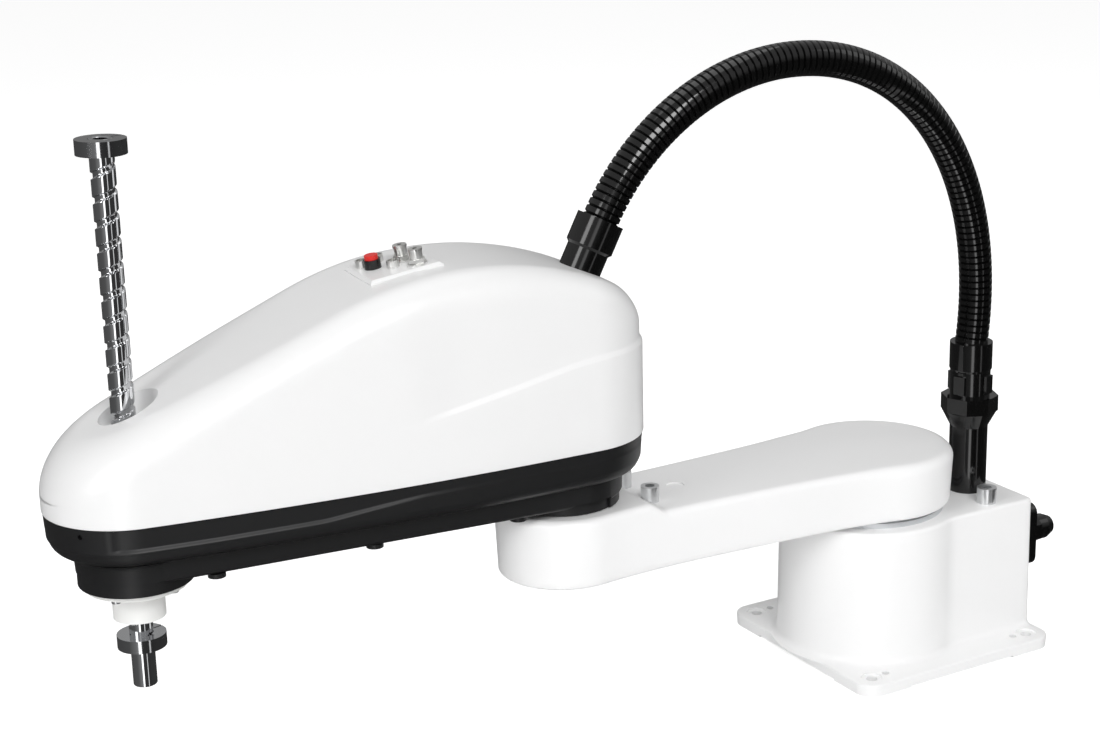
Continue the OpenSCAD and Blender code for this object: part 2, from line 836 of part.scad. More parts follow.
module brake_button() {
    color("red") on_panel(button_s, button_n)
        rod(4.7, 1 + button_travel + 0.3, 9.6);
}

module tube_fittings() {
    color("silver") for (p = tall_spots) on_panel(p[0], p[1])
        difference() {
            union() {
                translate([0, 0, -panel_h]) cylinder(r = 3, h = panel_h);
                cylinder(r = 7, h = 1.4);
                translate([0, 0, 1.4]) cylinder(r = 6, h = 3, $fn = 6);
                translate([0, 0, 4.4]) cylinder(r = 4.6, h = 5.6);
                translate([0, 0, 10]) cylinder(r = 5, h = 1.6);
            }
            translate([0, 0, 2]) cylinder(r = 1.6, h = 20);
        }
}

module signal_connectors() {
    color("silver") for (p = small_spots) on_panel(p[0], p[1])
        difference() {
            union() {
                translate([0, 0, -panel_h]) cylinder(r = 2.5, h = panel_h);
                cylinder(r = 4.4, h = 5);
            }
            translate([0, 0, 2]) cylinder(r = 3.2, h = 20);
        }
}

module hose_upper_fitting() {
    color("black") forearm() translate([entry_s, 0, entry_z])
        rotate([0, -entry_tilt, 0]) rotate_extrude() polygon([
            [conduit_bore_r, -14], [upper_tube_r, -14],
            [upper_tube_r, 14], [sleeve_r, 16],
            [sleeve_r, sleeve_reach + 3], [hose_r + 1, sleeve_reach + 3],
            [hose_r, sleeve_reach - 1],
            [hose_r, sleeve_reach - hose_seat],
            [conduit_bore_r, sleeve_reach - hose_seat]]);
}

module j2_reducer() {
    color("silver") forearm() difference() {
        union() {
            rod(gear2_r, gear2_low, floor_top + 18);
            rod(gear2_r + 4.5, floor_top, floor_top + 4);
        }
        translate([0, 0, gear2_low - cut])
            cylinder(r = post_r + run_fit, h = 22.5 + cut);
    }
}

module j2_motor() {
    w = 60;
    color("dimgray") forearm() union() {
        translate([-w / 2, -w / 2, floor_top + 18]) cube([w, w, 8]);
        translate([-w / 2 + 1, -w / 2 + 1, floor_top + 26])
            cube([w - 2, w - 2, 70]);
    }
}

// ---- drive of the tool shaft ----

module at_tool() {
    forearm() translate([arm2_len, 0, 0]) children();
}

module nose_bearing() {
    color("silver") at_tool()
        tube(bearing_r, nut_r + run_fit, pad_z + 2, floor_top);
}

module shaft_cup() {
    color("white") at_tool() rotate_extrude() polygon([
        [9, pad_z - 26.6], [17.4, pad_z - 26.6], [17.4, pad_z - 10],
        [22, pad_z - 6], [23, pad_z - 5.2], [31, pad_z - 5.2],
        [33.7, pad_z - 4], [33.7, pad_z], [9, pad_z]]);
}

module cup_screws() {
    color("silver") at_tool() for (a = [0:90:270]) rotate([0, 0, a + 45])
        translate([27, 0, pad_z - 5.2]) rotate([180, 0, 0])
            cylinder(r = 3.2, h = 2);
}

module bridge(s0, s1, half, deck0, deck1, leg, bore, bore_s) {
    difference() {
        translate([s0, -half, floor_top])
            cube([s1 - s0, 2 * half, deck1 - floor_top]);
        translate([s0 - cut, -half + leg, floor_top - cut])
            cube([s1 - s0 + 2 * cut, 2 * (half - leg),
                  deck0 - floor_top + cut]);
        translate([bore_s, 0, floor_top])
            cylinder(r = bore, h = deck1 - floor_top + cut);
    }
}

module nose_bridge() {
    color("silver") forearm()
        bridge(arm2_len - 24, arm2_len + 12, 36, z_belt_z - 15,
               z_belt_z - 3, 5.5, nut_r + run_fit, arm2_len);
}

module theta_bracket() {
    color("silver") forearm()
        bridge(theta_motor_s - 23, theta_motor_s + 23, 40,
               floor_top + 22, floor_top + 28, 6, 12, theta_motor_s);
}

module z_bracket() {
    color("silver") forearm()
        bridge(z_motor_s - 22, z_motor_s + 23, 40,
               z_belt_z + 16, z_belt_z + 22, 6, 12, z_motor_s);
}

module drive_motor(z0, h) {
    color("dimgray") difference() {
        translate([-motor_w / 2, -motor_w / 2, z0])
            cube([motor_w, motor_w, h]);
        translate([0, 0, z0 - cut])
            cylinder(r = 4 + run_fit, h = 11 + cut);
    }
}

module theta_motor() {
    forearm() translate([theta_motor_s, 0, 0])
        drive_motor(floor_top + 28, 66);
}

module z_motor() {
    forearm() translate([z_motor_s, 0, 0])
        drive_motor(z_belt_z + 22, 50);
}

module pulley(r, z0) {
    rod(r + 1.6, z0, z0 + 1.2);
    rod(r, z0, z0 + pulley_h);
    rod(r + 1.6, z0 + pulley_h - 1.2, z0 + pulley_h);
}

module theta_motor_pulley() {
    color("silver") forearm() translate([theta_motor_s, 0, 0]) {
        pulley(small_r, theta_belt_z - 2);
        rod(4, theta_belt_z, floor_top + 38);
    }
}

module z_motor_pulley() {
    color("silver") forearm() translate([z_motor_s, 0, 0]) {
        pulley(small_r, z_belt_z - 2);
        rod(4, z_belt_z, z_belt_z + 32);
    }
}

module spline_nut() {
    color("silver") at_tool() difference() {
        union() {
            rod(nut_r, pad_z + 2.4, theta_belt_z - 2);
            pulley(theta_big_r, theta_belt_z - 2);
        }
        translate([0, 0, pad_z])
            cylinder(r = shaft_r + run_fit, h = 60);
    }
}

module ball_nut() {
    color("silver") at_tool() difference() {
        union() {
            rod(nut_r, z_belt_z - 17, z_belt_z);
            pulley(z_big_r, z_belt_z - 2.7);
            rod(nut_r, z_belt_z, z_belt_z + 15);
        }
        translate([0, 0, z_belt_z - 20])
            cylinder(r = shaft_r + run_fit, h = 60);
    }
}

// Closed belt round a small wheel at the origin and a big one at x = c.
function belt_loop(c, ra, rb, n) =
    let (g = acos((ra - rb) / c))
    concat([for (i = [0:n]) let (a = -g + 2 * g * i / n)
               [c + rb * cos(a), rb * sin(a)]],
           [for (i = [0:n]) let (a = g + (360 - 2 * g) * i / n)
               [ra * cos(a), ra * sin(a)]]);

module belt(s, big, z0) {
    c = arm2_len - s;
    ra = small_r + run_fit + 0.25;
    rb = big + run_fit + 0.25;
    color("black") forearm() translate([s, 0, z0])
        linear_extrude(height = belt_h) difference() {
            polygon(belt_loop(c, ra + belt_t, rb + belt_t, 22));
            polygon(belt_loop(c, ra, rb, 22));
        }
}

module theta_belt() {
    belt(theta_motor_s, theta_big_r, theta_belt_z);
}

module z_belt() {
    belt(z_motor_s, z_big_r, z_belt_z);
}

// Shaft with one screw groove and three straight spline grooves. Every
// turn of the screw has the same stations, so each land between two turns
// is one flat face, and the spline grooves are stations on a smaller
// radius. The lower end stays a plain cylinder for the tool's clamp.
shaft_end = 24;
spline_deg = 9;
spline_deep = 1;
screw_w = 4.6;
screw_deep = 1.3;
screw_z0 = 30;
station = flat([for (k = [0:2])
    concat([for (i = [-1:1]) 120 * k + i * spline_deg],
           [for (i = [1:4]) 120 * k + spline_deg
               + i * (120 - 2 * spline_deg) / 5])]);
station_r = flat([for (k = [0:2])
    concat([shaft_r, shaft_r - spline_deep, shaft_r],
           [for (i = [1:4]) shaft_r])]);

module z_shaft() {
    n = len(station);
    turns = floor((shaft_len - screw_z0 - 14) / screw_lead);
    last = turns * n;
    // Stations 0 to last along the screw, three points each.
    groove = flat([for (q = [0:last])
        let (a = station[q % n], r = station_r[q % n],
             z = screw_z0 + screw_lead
                 * (floor(q / n) + (a + spline_deg) / 360),
             grow = smooth(min(q, last - q) / 5),
             w = grow * screw_w / 2)
        [[r * cos(a), r * sin(a), z - w],
         [(r - grow * screw_deep) * cos(a),
          (r - grow * screw_deep) * sin(a), z],
         [r * cos(a), r * sin(a), z + w]]]);
    foot = [for (k = [0.92, 1]) for (j = [0:n - 1])
        [k * station_r[j] * cos(station[j]),
         k * station_r[j] * sin(station[j]),
         shaft_end + (k == 1 ? 1 : -cut)]];
    head = [for (j = [0:n - 1])
        [foot[n + j][0], foot[n + j][1], shaft_len]];
    b = n;
    g = 2 * n;
    t = g + len(groove);
    // Ends of the screw are single points: their three copies share one.
    low = function(q) g + 3 * q + (q == 0 || q == last ? 1 : 0);
    mid = function(q) g + 3 * q + 1;
    top = function(q) g + 3 * q + (q == 0 || q == last ? 1 : 2);
    color("silver") at_tool() translate([0, 0, shaft_bottom])
        difference() {
          union() {
            cylinder(r = shaft_r, h = shaft_end);
            polyhedron(
                points = concat(foot, groove, head,
                                [[0, 0, shaft_end - cut],
                                 [0, 0, shaft_len]]),
                faces = concat(
                    [for (j = [0:n - 1]) [t + n, j, (j + 1) % n]],
                    [for (j = [0:n - 1]) [t + n + 1, t + (j + 1) % n, t + j]],
                    // Relief next to the clamp's length.
                    flat([for (j = [0:n - 1]) let (i = (j + 1) % n)
                        [[j, b + j, b + i], [j, b + i, i]]]),
                    // Below the first turn.
                    flat([for (j = [0:n - 2])
                        [[b + j, low(j), low(j + 1)],
                         [b + j, low(j + 1), b + j + 1]]]),
                    [[b + n - 1, low(n - 1), low(n)],
                     [b + n - 1, low(n), mid(0)],
                     [b + n - 1, mid(0), b]],
                    // The groove.
                    flat([for (q = [0:last - 1])
                        concat(q == 0 ? []
                               : [[low(q), mid(q), mid(q + 1)],
                                  [mid(q), top(q), top(q + 1)]],
                               q == last - 1 ? []
                               : [[low(q), mid(q + 1), low(q + 1)],
                                  [mid(q), top(q + 1), mid(q + 1)]])]),
                    // Lands between two turns.
                    flat([for (q = [0:last - n - 1])
                        [[top(q), low(q + n), low(q + n + 1)],
                         [top(q), low(q + n + 1), top(q + 1)]]]),
                    // Above the last turn.
                    flat([for (q = [last - n + 1:last - 1])
                        let (j = q % n, i = (j + 1) % n)
                        [[top(q), t + j, t + i],
                         [top(q), t + i, top(q + 1)]]]),
                    [[top(last - n), mid(last), t + 1],
                     [mid(last), t, t + 1],
                     [top(last - n), t + 1, top(last - n + 1)]]),
                convexity = 10);
          }
            translate([0, 0, -cut])
                cylinder(d = shaft_bore_d, h = shaft_len + 2 * cut);
        }
}

// Split clamp collar with its cross screw hole.
module collar(z0, h) {
    r = collar_d / 2;
    at_tool() translate([0, 0, z0]) difference() {
        cylinder(r = r, h = h);
        translate([0, 0, -cut]) cylinder(r = shaft_r, h = h + 2 * cut);
        rotate([0, 0, 200]) translate([0, -0.6, -cut])
            cube([r + cut, 1.2, h + 2 * cut]);
        rotate([0, 0, 200]) translate([r * 0.74, -r, h / 2])
            rotate([-90, 0, 0]) cylinder(r = 1.6, h = 2 * r);
    }
}

module upper_collar() {
    color("dimgray") collar(shaft_bottom + shaft_len - 10, 10);
}

module lower_collar() {
    color("dimgray") collar(shaft_bottom + 28, 9);
}

base_casting();
base_stop_bolts();
rear_connector_plate();
rear_cable_gland();
j1_motor();
j1_reducer();
conduit_tube();
conduit_nut();
hose_lower_fitting();
cable_hose();
arm_1_casting();
j1_output_hub();
arm_stop_bolts();
j2_post();
j2_post_screws();
forearm_casting();
forearm_cover();
underside_screws();
j2_reducer();
j2_motor();
nose_bearing();
nose_bridge();
shaft_cup();
cup_screws();
theta_bracket();
theta_motor();
theta_belt();
z_bracket();
z_motor();
z_belt();
top_panel();
button_bezel();
brake_button();
tube_fittings();
signal_connectors();
hose_upper_fitting();
spline_nut();
ball_nut();
theta_motor_pulley();
z_motor_pulley();
z_shaft();
upper_collar();
lower_collar();
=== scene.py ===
"""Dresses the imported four-axis arm: smooth castings and mouldings, a ribbed
cable hose, a screw-grooved shaft, and the finishes of each part."""
import json
import math

import bmesh
import bpy
import numpy as np
from mathutils import Matrix, Vector


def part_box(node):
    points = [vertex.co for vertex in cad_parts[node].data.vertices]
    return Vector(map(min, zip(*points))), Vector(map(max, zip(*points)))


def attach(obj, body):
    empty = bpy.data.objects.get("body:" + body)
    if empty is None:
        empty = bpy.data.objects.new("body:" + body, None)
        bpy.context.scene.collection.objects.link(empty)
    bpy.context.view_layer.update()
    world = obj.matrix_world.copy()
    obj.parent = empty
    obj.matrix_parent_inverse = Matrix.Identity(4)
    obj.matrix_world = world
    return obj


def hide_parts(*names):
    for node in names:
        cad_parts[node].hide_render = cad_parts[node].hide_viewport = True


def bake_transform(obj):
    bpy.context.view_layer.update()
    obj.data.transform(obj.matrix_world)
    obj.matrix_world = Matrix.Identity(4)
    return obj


bl_info = {
    "name": "Four-axis arm dressing",
    "version": (1, 0, 0),
    "blender": (4, 5, 0),
    "location": "View3D > Sidebar > Arm",
    "description": "Builds the finished surfaces of a four-axis arm",
    "category": "Object",
}

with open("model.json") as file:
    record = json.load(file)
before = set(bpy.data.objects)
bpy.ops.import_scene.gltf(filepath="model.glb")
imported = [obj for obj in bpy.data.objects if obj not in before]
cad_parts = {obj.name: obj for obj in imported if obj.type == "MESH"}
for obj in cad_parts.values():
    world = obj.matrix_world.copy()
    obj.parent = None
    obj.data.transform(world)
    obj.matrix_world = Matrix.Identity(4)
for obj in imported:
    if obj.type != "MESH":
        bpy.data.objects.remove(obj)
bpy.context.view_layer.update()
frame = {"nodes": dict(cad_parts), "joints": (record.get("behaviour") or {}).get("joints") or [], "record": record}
MM = 0.001
WELD = 1e-6  # metres between points that are taken as one

# ---------------------------------------------------------------- sizes, mm
# They repeat the solids' own values, except where a comment says otherwise.
# What can be read from a node's box is read from it.


def node_mm(name):
    """Lowest and highest corner of a CAD node, in millimetres."""
    low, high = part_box(name)
    return np.array(low) / MM, np.array(high) / MM


JOINT = {j["name"]: j for j in frame["joints"]}
ELBOW = np.array(JOINT["j2_elbow_turn"]["pos_m"]) / MM
TOOL = np.array(JOINT["j4_tool_turn"]["pos_m"]) / MM
REACH = TOOL[:2] - ELBOW[:2]
ARM2_LEN = float(np.hypot(*REACH))
ARM2_TURN = math.atan2(REACH[1], REACH[0])
ARM1_LEN = float(ELBOW[0])

# Base casting: foot plate, round tower and the box behind it.
STOP_BOLT_H = 13.0
BASE_H = node_mm("base_stop_bolts")[1][2] - STOP_BOLT_H
PLATE_THICK = 10.0
PLATE_LOW, PLATE_HIGH = node_mm("base_casting")
REAR_X = float(PLATE_LOW[0])
PLATE_HALF = float(PLATE_HIGH[1])
PLATE_X = REAR_X + PLATE_HALF
PLATE_CORNER = 16.0
PLATE_EDGE = 1.2
BOLT_HALF = PLATE_HALF - 16.5
BOLT_R = 4.5
BOLT_HEAD_R = 8.25
BOLT_SEAT_Z = 8.5
DOWEL_R = 3.0
DOWEL_SHIFT = 14.0
FOOT_PAD = 44.0
CHANNEL_DEEP = 2.0
TOWER_R = 73.0
REAR_HALF_W = 65.0
S_CURVE_R = 30.0
TOWER_TAPER = 1.6
FOOT_FILLET = 6.0
REAR_CORNER = 6.0
BASE_EDGE = 3.0
BASE_WALL = 8.0
TOWER_BORE_R = 65.0

# Upper arm casting. WAIST is a point of the flank and its slope.
ARM1_Z0 = float(node_mm("arm_1_casting")[0][2])
PAD_Z = float(node_mm("arm_1_casting")[1][2])
PAD_RISE = 8.0
ARM1_TOP = PAD_Z - PAD_RISE
HEAD_R = 67.0
HEAD_ANGLE = 75.0
END_R = 51.0
END_ANGLE = 97.0
WAIST = (130.0, 50.7, -0.06)
RAMP_MID = ARM1_LEN - 55
RAMP_HALF = 9.0
ARM1_DRAFT = 1.8
HEAD_EDGE = 8.5
ELBOW_EDGE = 5.5
STOP_SEAT_R = 7.5
STOP_BACK = 63.0
STOP_SIDE = 20.0
PLUG_R = 7.0
PLUG_BACK = 43.0
LIGHTENING_X = (106.0, ARM1_LEN - 105)
LIGHTENING_HALF = (34.0, 34.0, 19.0)

# Black forearm casting.
SEAM_Z, CREST_Z = (float(v[2]) for v in node_mm("forearm_cover"))
FLOOR_LOW = PAD_Z + 23
FLOOR_TOP = PAD_Z + 24
KEEL_LOW = PAD_Z + 6.7
NECK_R = 41.5
NOSE_NECK_R = 38.3
REAR_R = 60.0
REAR_ANGLE = 94.0
NOSE_R = 57.0
NOSE_ANGLE = 85.0
KEEL_REAR_R = NECK_R + 2.9
KEEL_NOSE_R = NOSE_NECK_R + 1.3
# The line under the ledge: distance along the forearm, height over the seam.
LEDGE_LINE = ((-60, -8.7), (63, -8.7), (97, -9.1), (133, -9.7),
              (167, -12.5), (201, -15.8), (277, -16.6), (400, -16.6))
LEDGE_DEPTH = 2.0
LEDGE_TOP = 2.8
WINDOW_FROM, WINDOW_TO = 37.0, 121.0
WINDOW_HIGH = 3.6
WINDOW_DEEP = 2.0
WINDOW_CORNER = 3.0
GEAR_BORE_R = 36.02
BEARING_BORE_R = 22.02

# White cover. The styling step is higher than in the solids (4.8 mm, not
# 3.4) and the pocket round the shaft is narrower (radius 19.5 mm, not 27).
CREST_S = 85.0
CREST_R = 255.0
ROOF_FALL = math.radians(23.3)
FALL_S = CREST_S + CREST_R * math.sin(ROOF_FALL)
# The styling step's line: distance along the forearm, height over the seam.
CREASE_LINE = ((-60, 70), (8, 69), (50, 59), (90, 52), (120, 46),
               (200, 34), (300, 18), (375, 10))
CREASE_STEP = 2.2
CREASE_BELOW = 2.8
CREASE_ABOVE = 2.0
COVER_WALL = 3.5
POCKET_R = 19.5
POCKET_BACK = 3.0
POCKET_FLARE = 3.0
POCKET_WALL = 4.0
POCKET_Z = SEAM_Z + 49
ABOVE_ROOF = POCKET_Z + 70
SHAFT_HOLE_R = 10.5
ENTRY_S = -18.0
ENTRY_TILT = math.radians(26.8)
ENTRY_LIFT = 1.3
ENTRY_R = 15.6

# Tool shaft. Its screw groove starts GROOVE_FROM over the lower end and
# stops GROOVE_TO under the upper one.
SHAFT_R = 8.0
SHAFT_BORE_R = 5.0
SHAFT_EDGE = 0.4
GROOVE_FROM = 30.0
GROOVE_TO = 14.0
GROOVE_FADE = 6.0
GROOVE_DEPTH = 1.5
SPLINE_FROM = 24.0
SPLINE_DEPTH = 1.0
SPLINE_HALF = 0.16  # half a spline groove's width, as an angle

# Hose. Its crown lies 2 mm nearer the base than in the solids, and its rise
# bulges up to 4 mm further back. Each pull is how far a control point lies
# from its end of a half, along the plan line or the end's own direction.
HOSE_R = 13.5
HOSE_SEAT = 12.0
SLEEVE_REACH = 34.4
CROWN_Z = 489.8
CROWN_OUT = 175.0
START_BACK = 17.0
START_PULL = 138.0
RISE_PULL = 117.0
FALL_PULL = 68.0
ENTRY_PULL = 75.0
RIB_DEPTH = 1.5


# ------------------------------------------------------------ mesh helpers
def smooth_step(t):
    """0 below 0, 1 above 1, and 3t^2 - 2t^3 between."""
    u = np.clip(t, 0, 1)
    return u * u * (3 - 2 * u)


def ring_faces(rows, cols):
    """Quads between neighbouring rings of cols points, closed round."""
    r, c = np.meshgrid(np.arange(rows - 1), np.arange(cols), indexing="ij")
    a = r * cols + c
    b = r * cols + (c + 1) % cols
    return np.stack([a, b, b + cols, a + cols], -1).reshape(-1, 4)


def shade(mesh, sharp):
    """Smooth faces, with edges sharper than an angle in degrees marked."""
    mesh.shade_smooth()
    mesh.set_sharp_from_angle(angle=math.radians(sharp))


def make_piece(name, points, faces, material, body=None, sharp=35.0):
    """A mesh object from points in millimetres and quads of point numbers,
    with doubles welded, flat slivers dropped and faces turned outwards."""
    mesh = bpy.data.meshes.new(name)
    mesh.from_pydata((np.asarray(points) * MM).tolist(), [], faces.tolist())
    bm = bmesh.new()
    bm.from_mesh(mesh)
    bmesh.ops.remove_doubles(bm, verts=bm.verts, dist=WELD)
    bmesh.ops.dissolve_degenerate(bm, edges=bm.edges, dist=WELD)
    bmesh.ops.recalc_face_normals(bm, faces=bm.faces)
    bm.to_mesh(mesh)
    bm.free()
    shade(mesh, sharp)
    mesh.materials.append(material)
    piece = bpy.data.objects.new(name, mesh)
    bpy.context.scene.collection.objects.link(piece)
    if body:
        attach(piece, body)
    return piece


def carve(piece, cutters, operation="DIFFERENCE", sharp=35.0):
    """Cuts or joins other closed meshes and keeps the result as plain
    geometry."""
    for cutter in cutters:
        tool = piece.modifiers.new("carve", "BOOLEAN")
        tool.operation = operation
        tool.solver = "MANIFOLD"
        tool.object = cutter
    graph = bpy.context.evaluated_depsgraph_get()
    done = bpy.data.meshes.new_from_object(piece.evaluated_get(graph))
    piece.modifiers.clear()
    # The cut faces take the piece's own finish.
    own = piece.data.materials[0]
    piece.data = done
    done.materials.clear()
    done.materials.append(own)
    done.polygons.foreach_set("material_index",
                              np.zeros(len(done.polygons), np.int32))
    for cutter in cutters:
        bpy.data.objects.remove(cutter)
    shade(done, sharp)


def lathe(profile, count=96, centre=(0.0, 0.0), turn=None):
    """Points and faces of a closed profile of (radius, height) spun round
    the Z axis: x = r cos a, y = r sin a. Radius 0 welds to one point."""
    p = np.asarray(profile, float)
    a = np.arange(count) * 2 * np.pi / count
    pts = np.stack([p[:, :1] * np.cos(a) + centre[0],
                    p[:, :1] * np.sin(a) + centre[1],
                    p[:, 1:2] + 0 * a], -1).reshape(-1, 3)
    if turn is not None:
        pts = pts @ np.asarray(turn)[:3, :3].T + np.asarray(turn)[:3, 3]
    return pts, ring_faces(len(p), count)


def rounded(corners, radius=0.8, steps=4):
    """A profile of straight lines with each inner corner replaced by a
    quadratic curve that leaves it at radius on both sides. Corners are
    (r, z) or (r, z, own radius)."""
    out = []
    n = len(corners)
    for i, c in enumerate(corners):
        here = np.array(c[:2], float)
        rad = c[2] if len(c) > 2 else radius
        if i in (0, n - 1) or rad == 0:
            out.append(here)
            continue
        before = np.array(corners[i - 1][:2], float) - here
        after = np.array(corners[i + 1][:2], float) - here
        la, lb = np.hypot(*before), np.hypot(*after)
        p = here + before / la * min(rad, la * 0.45)
        q = here + after / lb * min(rad, lb * 0.45)
        t = np.linspace(0, 1, steps + 1)[:, None]
        out.extend((1 - t) ** 2 * p + 2 * t * (1 - t) * here + t ** 2 * q)
    return np.array(out)


def cutter_mesh(pts, faces):
    """A mesh that is used only to cut or to be joined."""
    return make_piece("cutter", pts, faces, finish("white_paint"))


def cylinder_cutter(r, z0, z1, centre, count=96, turn=None):
    """A closed cylinder to cut with."""
    profile = [(0, z0), (r, z0), (r, z1), (0, z1)]
    return cutter_mesh(*lathe(profile, count, centre, turn))


def rounded_slab(centre, half, corner, rows, steps=6):
    """A slab with rounded upright edges: the ring of a rounded rectangle,
    set in and lifted by each (depth, height) of rows, and closed to a point
    at both ends."""
    t = np.arange(steps + 1) * 90 / steps
    rings = [np.concatenate([
        np.stack([sx * (half[0] - corner)
                  + (corner - depth) * np.cos(np.radians(a0 + t)),
                  sy * (half[1] - corner)
                  + (corner - depth) * np.sin(np.radians(a0 + t)),
                  0 * t + height], -1)
        for sx, sy, a0 in ((1, 1, 0), (-1, 1, 90), (-1, -1, 180),
                           (1, -1, 270))]) for depth, height in rows]
    upright = np.array([0, 0, 1])
    rings = [rings[0] * upright] + rings + [rings[-1] * upright]
    return (np.concatenate(rings) + np.array(centre),
            ring_faces(len(rings), len(rings[0])))


def box_cutter(centre, half, corner):
    """A closed box with rounded upright edges to cut with."""
    rows = [(0, -half[2]), (0, half[2])]
    return cutter_mesh(*rounded_slab(centre, half, corner, rows))


def quarter(steps):
    """Pairs (1 - cos a, 1 - sin a) for angles a over a quarter turn."""
    return [(1 - math.cos(a), 1 - math.sin(a))
            for a in np.linspace(0, math.pi / 2, steps)]


def to_forearm(points):
    """Forearm coordinates (along, across, up) to the row frame."""
    c, s = math.cos(ARM2_TURN), math.sin(ARM2_TURN)
    p = np.asarray(points, float)
    return np.stack([ELBOW[0] + p[..., 0] * c - p[..., 1] * s,
                     ELBOW[1] + p[..., 0] * s + p[..., 1] * c,
                     p[..., 2]], -1)


# ---------------------------------------------------------------- outlines
def arc(cx, cy, r, a, b, n):
    """n points of a circle between angles a and b in degrees, half a step
    in from both, with their outward normals."""
    t = np.radians(a + (b - a) * (np.arange(n) + 0.5) / n)
    return np.stack([cx + r * np.cos(t), cy + r * np.sin(t),
                     np.cos(t), np.sin(t)], -1)


def cubic_flank(p, q, x):
    """The cubic in x through p and q = (x, y, slope), that has their
    slopes there, with its normals."""
    h = q[0] - p[0]
    t = (x - p[0]) / h
    dy = (q[1] - p[1]) / h
    y = (p[1] * (1 - t) + q[1] * t
         + h * t * (1 - t) * ((p[2] - dy) * (1 - t) - (q[2] - dy) * t))
    m = (dy + (p[2] - dy) * (1 - t) * (1 - 3 * t)
         + (q[2] - dy) * t * (3 * t - 2))
    k = np.hypot(1, m)
    return np.stack([x, y, -m / k, 1 / k], -1)


def forearm_outline(nose=34, flank=80, rear=40):
    """Half outline of the forearm: nose arc, bulged flank, rear arc."""
    a0, a1 = math.radians(REAR_ANGLE), math.radians(NOSE_ANGLE)
    p = (REAR_R * math.cos(a0), REAR_R * math.sin(a0), -1 / math.tan(a0))
    q = (ARM2_LEN + NOSE_R * math.cos(a1), NOSE_R * math.sin(a1),
         -1 / math.tan(a1))
    x = q[0] + (p[0] - q[0]) * (np.arange(flank) + 0.5) / flank
    return np.concatenate([arc(ARM2_LEN, 0, NOSE_R, 0, NOSE_ANGLE, nose),
                           cubic_flank(p, q, x),
                           arc(0, 0, REAR_R, REAR_ANGLE, 180, rear)])


def keel_outline():
    """Half outline of the keel: two arcs and a straight side."""
    slope = (KEEL_NOSE_R - KEEL_REAR_R) / ARM2_LEN
    x = np.linspace(ARM2_LEN * 0.97, ARM2_LEN * 0.03, 30)
    side = cubic_flank((0, KEEL_REAR_R, slope),
                       (ARM2_LEN, KEEL_NOSE_R, slope), x)
    return np.concatenate([arc(ARM2_LEN, 0, KEEL_NOSE_R, 0, 91, 24), side,
                           arc(0, 0, KEEL_REAR_R, 91, 180, 24)])


def upper_arm_outline():
    """Half outline of the upper arm: elbow arc, waisted flank, head arc."""
    h, e = math.radians(HEAD_ANGLE), math.radians(END_ANGLE)
    head = (HEAD_R * math.cos(h), HEAD_R * math.sin(h), -1 / math.tan(h))
    tip = (ARM1_LEN + END_R * math.cos(e), END_R * math.sin(e),
           -1 / math.tan(e))
    x = tip[0] + (head[0] - tip[0]) * (np.arange(130) + 0.5) / 130
    side = np.where((x < WAIST[0])[:, None], cubic_flank(head, WAIST, x),
                    cubic_flank(WAIST, tip, x))
    return np.concatenate([arc(ARM1_LEN, 0, END_R, 0, END_ANGLE, 40), side,
                           arc(0, 0, HEAD_R, HEAD_ANGLE, 180, 50)])


def tower_outline():
    """Half outline of the base tower: round front, S curve, rear box."""
    cy = REAR_HALF_W + S_CURVE_R
    cx = -math.sqrt((TOWER_R + S_CURVE_R) ** 2 - cy * cy)
    a = math.degrees(math.atan2(cy, cx))
    bend = arc(cx, cy, S_CURVE_R, a + 180, 270, 14)
    bend[:, 2:] *= -1
    back_x = REAR_X + REAR_CORNER
    x = np.linspace(cx - 4, back_x + 4, 8)
    side = np.stack([x, 0 * x + REAR_HALF_W, 0 * x, 0 * x + 1], -1)
    return np.concatenate([arc(0, 0, TOWER_R, 0, a, 64), bend, side,
                           arc(back_x, REAR_HALF_W - REAR_CORNER,
                               REAR_CORNER, 90, 180, 8)])


def inset(outline, depth):
    """The outline moved inwards along its normals. Where it moves outwards
    it keeps to the rear plane."""
    nx = np.where((depth < 0) & (outline[:, 2] < 0), 0, outline[:, 2])
    return np.stack([outline[:, 0] - depth * nx,
                     outline[:, 1] - depth * outline[:, 3]], -1)


def both_sides(half):
    """A half ring and its mirror image as one closed ring."""
    other = half[::-1] * np.array([1, -1, 1])
    return np.concatenate([half, other])


def level_ring(outline, depth, z):
    """A closed ring of the outline, moved in by depth, at height z. Both
    are a number or one for each point."""
    xy = inset(outline, depth)
    return both_sides(np.concatenate(
        [xy, np.broadcast_to(z, len(xy))[:, None]], -1))


def roof_ring(outline, depth, top, drop):
    """A closed ring of the outline, moved in by depth, that lies drop
    below the height top(x) of a roof."""
    return level_ring(outline, depth, top(inset(outline, depth)[:, 0]) - drop)


def lid(ring, steps):
    """Rings that shrink a ring across its width to its middle line."""
    k = np.linspace(0, 1, steps + 1)[1:, None, None]
    scale = np.concatenate([1 + 0 * k, 1 - k, 1 + 0 * k], -1)
    return list(ring[None] * scale)


def closed_skin(rings, floor_steps, lid_steps):
    """Points and faces through closed rings, low to high, with a floor
    below the first and a lid over the last."""
    rings = (lid(rings[0], floor_steps)[::-1] + rings
             + lid(rings[-1], lid_steps))
    return np.concatenate(rings), ring_faces(len(rings), len(rings[0]))


# --------------------------------------------------------------- materials
DRIFT_MM = 60.0  # size of the slow change of colour in every finish


def linear(code):
    """sRGB hex to linear RGBA."""
    rgb = np.array([int(code[i:i + 2], 16) for i in (1, 3, 5)]) / 255
    lin = np.where(rgb <= 0.04045, rgb / 12.92, ((rgb + 0.055) / 1.055) ** 2.4)
    return (*lin.tolist(), 1.0)


